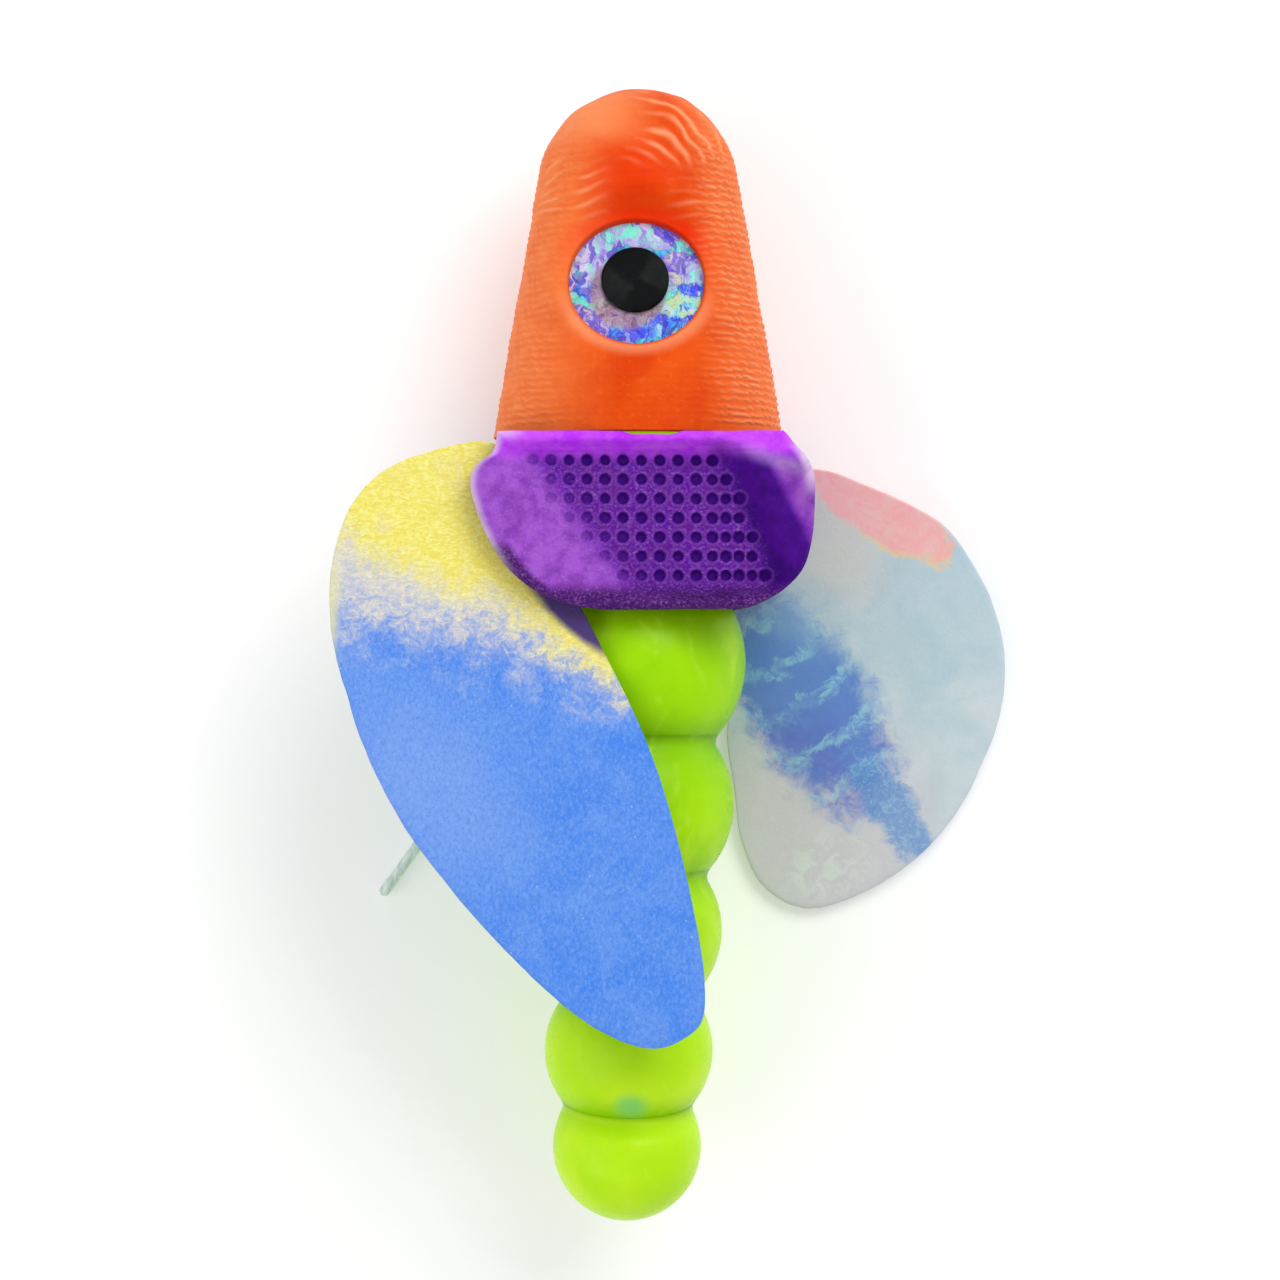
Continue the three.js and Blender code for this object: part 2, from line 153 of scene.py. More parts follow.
def fan_faces(centre, ring, flip=False):
    ring = list(ring)
    faces = [(centre, a, b) for a, b in zip(ring, ring[1:] + ring[:1])]
    return [f[::-1] for f in faces] if flip else faces


def add_mask(mesh, key, values):
    layer = mesh.attributes.new(key, "FLOAT", "POINT")
    layer.data.foreach_set("value", np.asarray(values, dtype=np.float32))


def vertex_places(obj, matrix):
    """The corners of a mesh in a local frame, in millimetres."""
    places = np.empty(len(obj.data.vertices) * 3)
    obj.data.vertices.foreach_get("co", places)
    return placed(places.reshape(-1, 3) / MM, matrix.inverted())


def make_object(name, points, faces, material=None, masks=None, smooth=True):
    mesh = bpy.data.meshes.new(name)
    mesh.from_pydata((np.asarray(points, float) * MM).tolist(), [], faces)
    for key, values in (masks or {}).items():
        add_mask(mesh, key, values)
    mesh.update()
    obj = bpy.data.objects.new(name, mesh)
    bpy.context.scene.collection.objects.link(obj)
    if material:
        mesh.materials.append(material)
    if smooth:
        mesh.polygons.foreach_set("use_smooth", [True] * len(mesh.polygons))
    return obj


def lathe(name, profile, segments, matrix=None, **rest):
    """A solid turned about local Z from (radius, height) pairs that start and end on the axis."""
    profile = np.array(profile, float)
    angles = np.arange(segments) * 2 * math.pi / segments
    body = profile[1:-1]
    radius, height = body[:, :1], body[:, 1:]
    rings = np.stack([radius * np.cos(angles), radius * np.sin(angles), height + 0 * angles], axis=-1)
    points = np.vstack([rings.reshape(-1, 3), [[0, 0, profile[0, 1]], [0, 0, profile[-1, 1]]]])
    n = len(body)
    faces = band_faces(n, segments)
    faces += fan_faces(n * segments, range(segments), flip=True)
    faces += fan_faces(n * segments + 1, range((n - 1) * segments, n * segments))
    if matrix is not None:
        points = placed(points, matrix)
    return make_object(name, points, faces, **rest)


def cut(obj, cutter, operation="DIFFERENCE"):
    """Joins or cuts a mesh with a helper mesh, then removes the helper."""
    modifier = obj.modifiers.new("cut", "BOOLEAN")
    modifier.operation = operation
    modifier.solver = "EXACT"
    modifier.object = cutter
    graph = bpy.context.evaluated_depsgraph_get()
    result = bpy.data.meshes.new_from_object(obj.evaluated_get(graph), depsgraph=graph)
    obj.modifiers.clear()
    old = obj.data
    result.name = old.name + "_cut"
    obj.data = result
    bpy.data.meshes.remove(old)
    mesh = cutter.data
    bpy.data.objects.remove(cutter)
    bpy.data.meshes.remove(mesh)


def prism(name, outline, low, high, matrix=None):
    """A straight-sided helper solid over an outline."""
    o = np.array(outline, float)
    n = len(o)
    points = np.vstack([np.c_[o, np.full(n, low)], np.c_[o, np.full(n, high)]])
    if matrix is not None:
        points = placed(points, matrix)
    faces = band_faces(2, n) + [list(range(n))[::-1], list(range(n, 2 * n))]
    return make_object(name, points, faces, smooth=False)


def arc_points(radius, y, angles):
    """Points of an arc about (0, y)."""
    return [(radius * math.cos(t), y + radius * math.sin(t)) for t in angles]


def egg(name, across, along, rings, segments, matrix):
    """A ball, or one that is stretched along its axis."""
    profile = [(across * math.sin(t), along * -math.cos(t)) for t in np.linspace(0, math.pi, rings)]
    return lathe(name, profile, segments, matrix)


def finish_edges(obj, degrees=40):
    """Smooth shading that keeps true corners sharp."""
    mesh = obj.data
    mesh.polygons.foreach_set("use_smooth", [True] * len(mesh.polygons))
    mesh.set_sharp_from_angle(angle=math.radians(degrees))


# ---- Material helpers ----
def srgb(r, g, b):
    def linear(c):
        c = c / 255
        return c / 12.92 if c <= 0.04045 else ((c + 0.055) / 1.055) ** 2.4

    return (linear(r), linear(g), linear(b), 1.0)


class Finish:
    """A procedural material, with short names for the nodes that it needs. Lengths are in millimetres."""

    def __init__(self, name, **sockets):
        self.material = bpy.data.materials.new(name)
        self.material.use_nodes = True
        self.tree = self.material.node_tree
        self.shader = self.tree.nodes["Principled BSDF"]
        for key, value in sockets.items():
            self.shader.inputs[key.replace("_", " ")].default_value = value
        grow = self._node("VectorMath")
        grow.operation = "SCALE"
        grow.inputs["Scale"].default_value = 1 / MM
        self._set(grow.inputs[0], self._node("TexCoord").outputs["Object"])
        self.place = grow.outputs[0]

    def _set(self, socket, value):
        if isinstance(value, bpy.types.NodeSocket):
            self.tree.links.new(value, socket)
        elif value is not None:
            socket.default_value = value

    def _node(self, kind, **inputs):
        node = self.tree.nodes.new("ShaderNode" + kind)
        for key, value in inputs.items():
            self._set(node.inputs[key.replace("_", " ")], value)
        return node

    def math(self, operation, a, b=None):
        node = self._node("Math")
        node.operation = operation
        for socket, value in zip(node.inputs, (a, b)):
            self._set(socket, value)
        return node.outputs[0]

    def times(self, a, b):
        return self.math("MULTIPLY", a, b)

    def plus(self, a, b):
        return self.math("ADD", a, b)

    def minus(self, a, b):
        return self.math("SUBTRACT", a, b)

    def fit(self, value, low, high, out_low=0.0, out_high=1.0):
        ends = {"From_Min": low, "From_Max": high, "To_Min": out_low, "To_Max": out_high}
        node = self._node("MapRange", Value=value, **ends)
        node.interpolation_type = "SMOOTHSTEP"
        return node.outputs["Result"]

    def mask(self, name):
        node = self._node("Attribute")
        node.attribute_name = name
        return node.outputs["Fac"]

    def stretch(self, scale, turn=0.0, vector=None):
        vector = vector or self.place
        return self._node("Mapping", Scale=scale, Rotation=(0, 0, turn), Vector=vector).outputs[0]

    def noise(self, pitch, detail=2.0, rough=0.5, warp=0.0, vector=None, colour=False):
        node = self._node("TexNoise", Scale=1 / pitch, Detail=detail, Vector=vector or self.place)
        node.inputs["Roughness"].default_value = rough
        node.inputs["Distortion"].default_value = warp
        return node.outputs["Color" if colour else "Fac"]

    def cells(self, pitch, vector=None, feature="F1", output="Distance"):
        node = self._node("TexVoronoi", Scale=1 / pitch, Vector=vector or self.place)
        node.feature = feature
        return node.outputs[output]

    def axes(self, vector=None):
        return self._node("SeparateXYZ", Vector=vector or self.place).outputs

    def ramp(self, value, stops):
        """A colour band of (place, sRGB colour) stops."""
        node = self._node("ValToRGB", Fac=value)
        elements = node.color_ramp.elements
        while len(elements) < len(stops):
            elements.new(0.5)
        for element, (at, colour) in zip(elements, stops):
            element.position = at
            element.color = srgb(*colour)
        return node.outputs["Color"]

    def mix(self, share, a, b):
        node = self._node("Mix")
        node.data_type = "RGBA"
        sockets = [s for s in node.inputs if s.enabled]
        for socket, value in zip(sockets, (share, a, b)):
            self._set(socket, value)
        return [s for s in node.outputs if s.enabled][0]

    def blend(self, value, a, b, low=0.3, high=0.7):
        """A colour between two sRGB colours, led by a texture."""
        return self.mix(self.fit(value, low, high), srgb(*a), srgb(*b))

    def tint(self, base, share, colour, most=1.0):
        """The base with an sRGB colour laid over it where share is high."""
        return self.mix(share if most == 1.0 else self.times(share, most), base, srgb(*colour))

    def blotch(self, centre, size, turn=0.0, ragged=None, reach=0.3, soft=0.25):
        """An oval patch, 1 inside and 0 outside, in the XY plane, with its edge moved by a texture."""
        node = self._node("Mapping", Rotation=(0, 0, turn), Scale=(*size, 1), Vector=self.place)
        node.vector_type = "TEXTURE"
        node.inputs["Location"].default_value = (*centre, 0)
        x, y, _ = self.axes(node.outputs[0])
        span = self.math("SQRT", self.plus(self.times(x, x), self.times(y, y)))
        if ragged is not None:
            span = self.plus(span, self.times(self.minus(ragged, 0.5), reach))
        return self.fit(span, 1 + soft, 1 - soft)

    def bump(self, height):
        """Height in millimetres."""
        self.set(Normal=self._node("Bump", Distance=MM, Height=height).outputs[0])

    def set(self, **sockets):
        for key, value in sockets.items():
            self._set(self.shader.inputs[key.replace("_", " ")], value)
        return self


def orange_silicone():
    f = Finish("orange_silicone", Subsurface_Weight=0.06, Subsurface_Scale=0.0008, IOR=1.4)
    f.set(Subsurface_Radius=(1.0, 0.35, 0.15), Specular_IOR_Level=0.1)
    cloud = f.noise(3.2, 3, 0.6)
    fine = f.noise(0.5, 3, 0.65)
    smear = f.noise(1.2, 4, 0.55, 0.3, f.stretch((0.7, 1.1, 0.7)))
    base = f.blend(cloud, (228, 82, 4), (217, 64, 0))
    base = f.tint(base, f.fit(fine, 0.55, 0.7, 0.0, 0.25), (238, 118, 50))
    # Painted shade: a deeper red over the middle of the crown and on the eye socket's upper rim.
    base = f.tint(base, f.mask("deep"), (232, 46, 0), 0.9)
    # Painted sheen: the pale mask lightens both sides of the head and the top of the crown near its tip.
    side = f.times(f.mask("pale"), f.fit(smear, 0.25, 0.75, 0.66, 1.0))
    base = f.tint(base, side, (252, 140, 74), 0.8)
    # Painted highlights: the ridge mask pales the socket's lower lip and the crests of the ribs, crown
    # wrinkles and brow creases.
    base = f.tint(base, f.mask("ridge"), (255, 180, 130), 0.85)
    f.set(Base_Color=base, Roughness=f.fit(fine, 0.2, 0.8, 0.46, 0.62))
    grain = f.plus(f.times(fine, 0.02), f.times(f.noise(0.12, 2), 0.008))
    f.bump(grain)
    return f.material


def purple_silicone():
    f = Finish("purple_silicone", Subsurface_Weight=0.06, Subsurface_Scale=0.0008, IOR=1.4)
    f.set(Subsurface_Radius=(0.6, 0.25, 1.0), Specular_IOR_Level=0.12)
    dust = f.noise(0.2, 4, 0.75)
    cloud = f.noise(1.5, 4, 0.65)
    # Painted light: the left slope down into the panel gets a paler, lit colour.
    slope = f.blend(cloud, (132, 58, 176), (162, 84, 208), 0.35, 0.65)
    base = f.mix(f.mask("slope"), srgb(128, 24, 206), slope)
    layers = (
        # Painted shade in the recessed panel.
        ("panel", (92, 24, 138), (90, 10, 154)),
        # Painted light: the top band along the front is brighter.
        ("rim", (184, 44, 246), (206, 84, 248)),
        ("shade", (48, 0, 108), (74, 4, 138)),
        # Painted shade on the back band, the lower left edge and the walls.
        ("foot", (62, 12, 94), (80, 24, 114)),
        # Painted highlight on the right-hand ridge.
        ("ridge", (120, 52, 160), (158, 92, 186)),
    )
    for mask, dark, light in layers:
        base = f.mix(f.mask(mask), base, f.blend(cloud, dark, light))
    # Painted shade in the dimples.
    base = f.tint(base, f.mask("pit"), (60, 0, 126))
    # Painted highlight on the dimples' raised rims.
    base = f.tint(base, f.mask("ring"), (132, 70, 172), 0.35)
    # Pale speckles over the panel and the left of the top, fewer near the front.
    pale_speckle = f.times(f.fit(dust, 0.47, 0.72), f.fit(cloud, 0.25, 0.7, 0.3, 0.85))
    base = f.tint(base, f.times(pale_speckle, f.mask("speckled_area")), (160, 112, 186))
    # Pale thin silicone edges at the lower left and right corner, plus a painted highlight along a fold at
    # the top right.
    flash_and_highlight = f.times(f.mask("flash_and_highlight"), f.fit(cloud, 0.2, 0.6, 0.6, 1.0))
    base = f.tint(base, flash_and_highlight, (226, 200, 232))
    f.set(Base_Color=base, Roughness=f.fit(dust, 0.2, 0.8, 0.5, 0.75))
    f.bump(f.plus(f.times(dust, 0.045), f.times(cloud, 0.07)))
    return f.material


def lime_plastic():
    f = Finish("lime_plastic", Subsurface_Weight=0.2, Subsurface_Scale=0.002, IOR=1.42)
    f.set(Subsurface_Radius=(0.8, 1.0, 0.15), Specular_IOR_Level=0.14)
    cloud = f.noise(4.0, 3, 0.5)
    streak = f.noise(2.6, 3, 0.5, 1.0, f.stretch((1.4, 0.7, 1.0)))
    _, y, z = f.axes()
    # The mix is a little paler towards the small end.
    front = f.blend(cloud, (164, 226, 2), (150, 214, 0))
    rear = f.blend(cloud, (198, 242, 34), (184, 236, 20))
    base = f.mix(f.fit(y, -12, -44), front, rear)
    # Painted shade: darker green towards the joints between beads.
    base = f.tint(base, f.mask("neck"), (124, 190, 0), 0.9)
    # Painted reflections: pale streaks along the beads.
    base = f.tint(base, f.fit(streak, 0.54, 0.74, 0.0, 0.35), (204, 246, 70))
    # A pale mint glint on top, just ahead of the last joint.
    glint = f.times(f.blotch((-0.5, -42.2), (1.0, 0.75), 0.0, cloud, 0.5, 0.75), f.fit(z, 11, 13))
    base = f.tint(base, glint, (118, 208, 116), 0.75)
    f.set(Base_Color=base)
    # Painted light: the thin ring at the head's seam glows, so it stays bright under the head.
    f.set(Emission_Color=srgb(176, 226, 10), Emission_Strength=f.fit(y, 5.1, 5.6, 0.0, 0.45))
    f.set(Roughness=f.fit(f.noise(1.2, 3), 0.3, 0.7, 0.24, 0.36))
    f.bump(f.plus(f.times(f.noise(2.4, 2), 0.08), f.times(f.noise(0.25, 2), 0.0015)))
    return f.material


def left_film():
    f = Finish("frosted_film", IOR=1.45, Specular_IOR_Level=0.15)
    grain = f.noise(0.26, 4, 0.8, 0.4, f.stretch((1.1, 0.8, 1.0), -0.4))
    weave = f.noise(0.26, 3, 0.75, 0.8, f.stretch((0.55, 1.25, 1.0), 0.5))
    fleck = f.noise(0.9, 5, 0.8, 0.9)
    cloud = f.noise(4.2, 5, 0.6, 0.5)
    x, y, _ = f.axes()
    drift = f.times(f.minus(cloud, 0.5), 8.5)
    drift = f.plus(drift, f.times(f.minus(fleck, 0.5), 5.0))
    drift = f.plus(drift, f.times(f.minus(grain, 0.5), 2.4))
    # How far a point is ahead of the blue end's edge, and of the yellow end's steeper edge.
    blue_line = f.plus(f.plus(f.times(x, 0.27), f.plus(y, 12.1)), drift)
    gold_line = f.plus(f.plus(f.times(x, 0.52), f.plus(y, 12.3)), drift)
    blue = f.blend(cloud, (70, 136, 238), (98, 150, 238), 0.34, 0.64)
    lavender = f.blotch((-14.6, -18.5), (7.5, 4.2), -0.9, cloud, 0.9, 0.8)
    blue = f.tint(blue, lavender, (134, 170, 242), 0.65)
    blue = f.tint(blue, f.fit(grain, 0.42, 0.7, 0.0, 0.45), (146, 182, 248))
    blue = f.tint(blue, f.fit(grain, 0.52, 0.3, 0.0, 0.4), (60, 118, 222))
    speck = f.cells(1.5)
    blue = f.tint(blue, f.fit(speck, 0.06, 0.03, 0.0, 0.6), (190, 212, 250))
    yellow = f.blend(weave, (242, 228, 98), (250, 244, 150), 0.44, 0.62)
    yellow = f.tint(yellow, f.fit(weave, 0.45, 0.33, 0.0, 0.3), (214, 196, 128))
    yellow = f.tint(yellow, f.fit(cloud, 0.55, 0.7, 0.0, 0.4), (226, 212, 186))
    cream = f.blend(weave, (208, 208, 214), (240, 231, 204), 0.4, 0.64)
    haze = f.mix(f.fit(fleck, 0.38, 0.62), srgb(158, 176, 222), cream)
    base = f.mix(f.fit(blue_line, -3.4, 2.2), blue, haze)
    creamy = f.times(f.fit(blue_line, -0.4, 3.0), f.fit(cloud, 0.62, 0.44, 0.4, 1.0))
    base = f.mix(creamy, base, cream)
    golden = f.times(f.fit(gold_line, -2.2, 2.0), f.fit(blue_line, -1.0, 1.6))
    base = f.mix(golden, base, yellow)
    rim = f.blotch((-22.4, -9.5), (0.9, 6.5), -0.12, fleck, 1.0, 0.5)
    base = f.tint(base, rim, (240, 234, 160), 0.7)
    # Painted shadow: a dark violet strip near the film's root, where the collar's shadow falls.
    collar_shadow = f.blotch((-4.6, -6.9), (4.4, 1.05), -0.74, fleck, 0.25, 0.35)
    base = f.tint(base, collar_shadow, (66, 42, 118), 0.97)
    f.set(Base_Color=base, Roughness=f.fit(grain, 0.3, 0.7, 0.55, 0.8))
    f.bump(f.plus(f.times(grain, 0.09), f.times(fleck, 0.05)))
    return f.material


def right_film():
    f = Finish("pearl_film", IOR=1.45, Specular_IOR_Level=0.2, Coat_Weight=0.1, Coat_Roughness=0.25)
    fleck = f.noise(1.6, 6, 0.7, 0.6)
    cloud = f.noise(5.0, 4, 0.6, 0.5)
    grain = f.noise(0.3, 4, 0.75)
    x, y, _ = f.axes()
    base = f.blend(cloud, (186, 206, 216), (206, 216, 222))
    upper = f.blotch((22.5, -5.0), (5.0, 8.0), 0.2, cloud, 0.5, 0.5)
    base = f.tint(base, upper, (170, 202, 214), 0.45)
    warm = f.blotch((14.2, -1.6), (4.2, 4.6), 0.3, cloud, 0.6, 0.6)
    base = f.tint(base, warm, (206, 206, 198), 0.75)
    lower = f.blotch((12.5, -23.0), (9.5, 8.0), 0.3, cloud, 0.5, 0.4)
    base = f.tint(base, lower, (208, 204, 212))
    milk = f.blotch((14.4, -26.0), (3.4, 2.4), 0.4, cloud, 0.8, 0.7)
    milk = f.times(milk, f.fit(f.noise(1.1, 4, 0.65, 0.6), 0.44, 0.6))
    base = f.tint(base, milk, (222, 230, 226), 0.55)
    base = f.tint(base, f.fit(grain, 0.55, 0.75, 0.0, 0.18), (232, 236, 238))
    # The pink end lies along the front edge, with a thin yellow fringe behind it.
    fringe = f.blotch((18.4, 0.95), (6.1, 2.25), -0.56, fleck, 1.1, 0.1)
    tail = f.fit(x, 15.5, 19.0)
    base = f.tint(base, f.times(fringe, tail), (238, 206, 140), 0.75)
    pink = f.blotch((18.2, 1.4), (6.2, 2.2), -0.56, fleck, 0.9, 0.14)
    rose = f.blend(fleck, (248, 172, 178), (240, 192, 192))
    base = f.mix(f.times(pink, 0.95), base, rose)
    # The dark band leans across the film, with a softer patch of the same outline for its froth.
    band = ((12.7, -13.2), (9.4, 4.6), -1.0, fleck, 1.0)
    deep = f.blotch(*band, 0.3)
    ink = f.mix(f.fit(y, -10, -18), srgb(84, 132, 208), srgb(88, 108, 204))
    ink = f.tint(ink, f.fit(cloud, 0.35, 0.65, 0.0, 0.6), (98, 138, 212))
    # Pale waves spread from a point near the waist.
    waist_x, waist_y = 9.3, -6.9
    across, along = f.minus(x, waist_x), f.minus(y, waist_y)
    far = f.math("SQRT", f.plus(f.times(across, across), f.times(along, along)))
    far = f.plus(far, f.times(f.minus(f.noise(2.8, 6, 0.7, 0.8), 0.5), 5.2))
    waves = f.math("COSINE", f.times(f.minus(far, 7.7), 1.85))
    lace = f.times(f.fit(waves, 0.2, 0.95), f.fit(f.noise(0.7, 5, 0.75, 1.2), 0.4, 0.6, 0.3, 1.0))
    lace = f.times(lace, f.fit(f.noise(2.6, 2), 0.36, 0.54, 0.28, 1.0))
    ink = f.tint(ink, lace, (150, 212, 226), 0.72)
    froth = f.fit(f.noise(0.8, 5, 0.7, 1.8), 0.46, 0.64)
    ring = f.times(f.minus(1.0, f.blotch(*band, 0.8)), f.fit(x, 11.0, 14.5))
    ink = f.tint(ink, f.times(ring, froth), (146, 196, 224), 0.45)
    base = f.mix(f.times(deep, 0.95), base, ink)
    haze = f.blotch((12.4, -6.4), (4.6, 2.6), -0.4, fleck, 0.8, 0.5)
    base = f.tint(base, haze, (150, 190, 208), 0.4)
    trail = f.blotch((19.3, -21.4), (4.9, 1.7), -1.0, fleck, 1.6, 0.3)
    spray = f.mix(f.times(froth, 0.6), srgb(96, 144, 212), srgb(150, 200, 222))
    base = f.mix(f.times(trail, 0.8), base, spray)
    f.set(Base_Color=base, Roughness=f.fit(fleck, 0.3, 0.7, 0.32, 0.5))
    f.bump(f.plus(f.times(grain, 0.02), f.times(fleck, 0.05)))
    return f.material


def pearl():
    f = Finish("pearl_lacquer", Coat_Weight=0.6, Coat_Roughness=0.08, IOR=1.5)
    streak = f.noise(0.5, 3, 0.6, 0.3, f.stretch((1.6, 0.3, 1.6)))
    f.set(Base_Color=f.blend(streak, (226, 240, 234), (186, 210, 200), 0.35, 0.65))
    f.set(Roughness=f.fit(streak, 0.3, 0.7, 0.2, 0.4))
    f.bump(f.times(streak, 0.02))
    return f.material


def drawn_metal(name, light, dark, rough):
    f = Finish(name, Metallic=1.0)
    streak = f.noise(0.2, 3, 0.6, 0.0, f.stretch((4.0, 4.0, 0.4)))
    f.set(Base_Color=f.mix(f.fit(streak, 0.3, 0.7), light, dark))
    f.set(Roughness=f.fit(streak, 0.3, 0.7, rough, rough + 0.15))
    f.bump(f.times(streak, 0.01))
    return f.material


def flake_foil():
    f = Finish("flake_foil", Metallic=0.1, IOR=1.5, Specular_IOR_Level=0.2)
    warp = f.noise(1.6, 3, 0.55, colour=True)
    node = f._node("VectorMath")
    node.operation = "MULTIPLY_ADD"
    for socket, value in zip(node.inputs, (warp, (2.4, 2.4, 2.4), f.place)):
        f._set(socket, value)
    bent = node.outputs[0]
    large = f.stretch((0.75, 1.3, 1.0), 0.9, bent)
    shard = f.cells(2.3, large, output="Color")
    sliver = f.cells(0.6, f.stretch((1.3, 0.6, 1.0), 0.9, bent), output="Color")
    crease = f.cells(2.3, large, "DISTANCE_TO_EDGE")
    brush = f.noise(0.8, 5, 0.65, 1.2, f.stretch((1.4, 0.6, 1.0), 0.8, bent))
    tone = f.axes(shard)
    fine = f.axes(sliver)
    stops = [
        (0.0, (50, 40, 232)), (0.12, (76, 104, 246)), (0.22, (50, 204, 240)), (0.33, (120, 240, 200)),
        (0.42, (172, 168, 226)), (0.55, (152, 122, 220)), (0.66, (96, 78, 230)), (0.76, (196, 176, 214)),
        (0.86, (196, 226, 128)), (0.94, (120, 214, 238)), (1.0, (64, 70, 236)),
    ]
    blend = f.plus(f.times(tone[0], 1.5), f.times(fine[0], 0.16))
    blend = f.math("FRACT", f.plus(blend, f.times(brush, 0.7)))
    base = f.ramp(blend, stops)
    # Painted highlights: pale sparkles on some slivers.
    base = f.tint(base, f.fit(fine[1], 0.66, 0.92, 0.0, 0.6), (226, 216, 240))
    base = f.tint(base, f.fit(fine[2], 0.68, 0.92, 0.0, 0.7), (52, 44, 190))
    base = f.tint(base, f.fit(brush, 0.4, 0.28, 0.0, 0.6), (120, 104, 150))
    base = f.tint(base, f.fit(crease, 0.05, 0.0, 0.0, 0.4), (96, 76, 120))
    base = f.mix(f.mask("halo"), base, f.blend(brush, (120, 78, 92), (178, 142, 150), 0.35, 0.6))
    f.set(Base_Color=base, Roughness=f.fit(fine[0], 0.0, 1.0, 0.3, 0.5))
    f.bump(f.plus(f.times(tone[1], 0.14), f.times(brush, 0.08)))
    return f.material


def black_print():
    f = Finish("black_print", IOR=1.45, Specular_IOR_Level=0.05)
    speck = f.noise(0.2, 3, 0.6)
    f.set(Base_Color=f.mix(f.fit(speck, 0.7, 0.76, 0.0, 0.7), srgb(5, 7, 8), srgb(120, 116, 100)))
    f.set(Roughness=f.fit(f.noise(0.7, 3), 0.3, 0.7, 0.4, 0.55))
    f.bump(f.times(speck, 0.01))
    return f.material


def clear_resin():
    f = Finish("clear_resin")
    ripple = f._node("Bump", Distance=MM, Height=f.times(f.noise(1.5, 2), 0.02))
    gloss = f._node("BsdfGlossy", Roughness=0.05, Normal=ripple.outputs[0])
    # A matt lacquer: only a little of the gloss is left when seen straight on.
    share = f.times(f._node("Fresnel", IOR=1.28).outputs[0], 0.18)
    blend = f._node("MixShader")
    for socket, value in zip(blend.inputs, (share, f._node("BsdfTransparent").outputs[0], gloss.outputs[0])):
        f._set(socket, value)
    f._set(f.tree.nodes["Material Output"].inputs["Surface"], blend.outputs[0])
    f.tree.nodes.remove(f.shader)
    return f.material


ORANGE = orange_silicone()
PURPLE = purple_silicone()
LIME = lime_plastic()
FILM_LEFT = left_film()
FILM_RIGHT = right_film()
PEARL = pearl()
STEEL = drawn_metal("steel_wire", srgb(196, 198, 202), srgb(150, 152, 158), 0.22)
BRASS = drawn_metal("rolled_brass", srgb(214, 182, 104), srgb(176, 140, 70), 0.25)
FOIL = flake_foil()
BLACK = black_print()
CLEAR = clear_resin()


def dress(node, material):
    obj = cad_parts[node]
    obj.data.materials.clear()
    obj.data.materials.append(material)


def declare(obj, body, nodes):
    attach(obj, body)
    if nodes:
        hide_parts(*nodes)


# ---- Head ----
HEAD_BASE_Y, BORE_END_Y = 6.07, 12.55
DOME_RADIUS, DOME_Y = 7.35, 24.35
RIB_PITCH = 0.53
SOCKET_HOLE, SOCKET_LIP, SOCKET_DISH = 4.72, 4.95, 7.6
SOCKET_RISE, SOCKET_FLOOR = 1.12, -0.15
EYE_ASPECT = 5 / 4.72


def head_rows():
    """Rows of (radius, place along Y, flatness) from the bore's end, over the base and cone, to the tip."""
    bore, corner, taper, flatten = 5.15, 0.1, 0.169, 0.86
    slope = math.atan(taper)
    tangent_y = DOME_Y + DOME_RADIUS * math.sin(slope)
    tangent_r = DOME_RADIUS * math.cos(slope)
    edge_r = tangent_r + (tangent_y - HEAD_BASE_Y) * taper - corner
    rows = [(bore, y, 1.0) for y in np.linspace(BORE_END_Y, HEAD_BASE_Y, 6)]
    for r in np.linspace(bore + 0.5, edge_r, 8):
        rows.append((r, HEAD_BASE_Y, 1 + (flatten - 1) * (r - bore) / (edge_r - bore)))
    plain = len(rows)
    for a in np.linspace(0.3, 1.4, 4):
        rows.append((edge_r + corner * math.sin(a), HEAD_BASE_Y + corner * (1 - math.cos(a)), flatten))
    for y in np.linspace(HEAD_BASE_Y + corner + 0.05, tangent_y, 250):
        rows.append((tangent_r + (tangent_y - y) * taper, y, flatten))
    for a in np.linspace(slope, math.pi / 2 - 0.012, 118)[1:]:
        rows.append((DOME_RADIUS * math.cos(a), DOME_Y + DOME_RADIUS * math.sin(a), flatten))
    return np.array(rows), plain


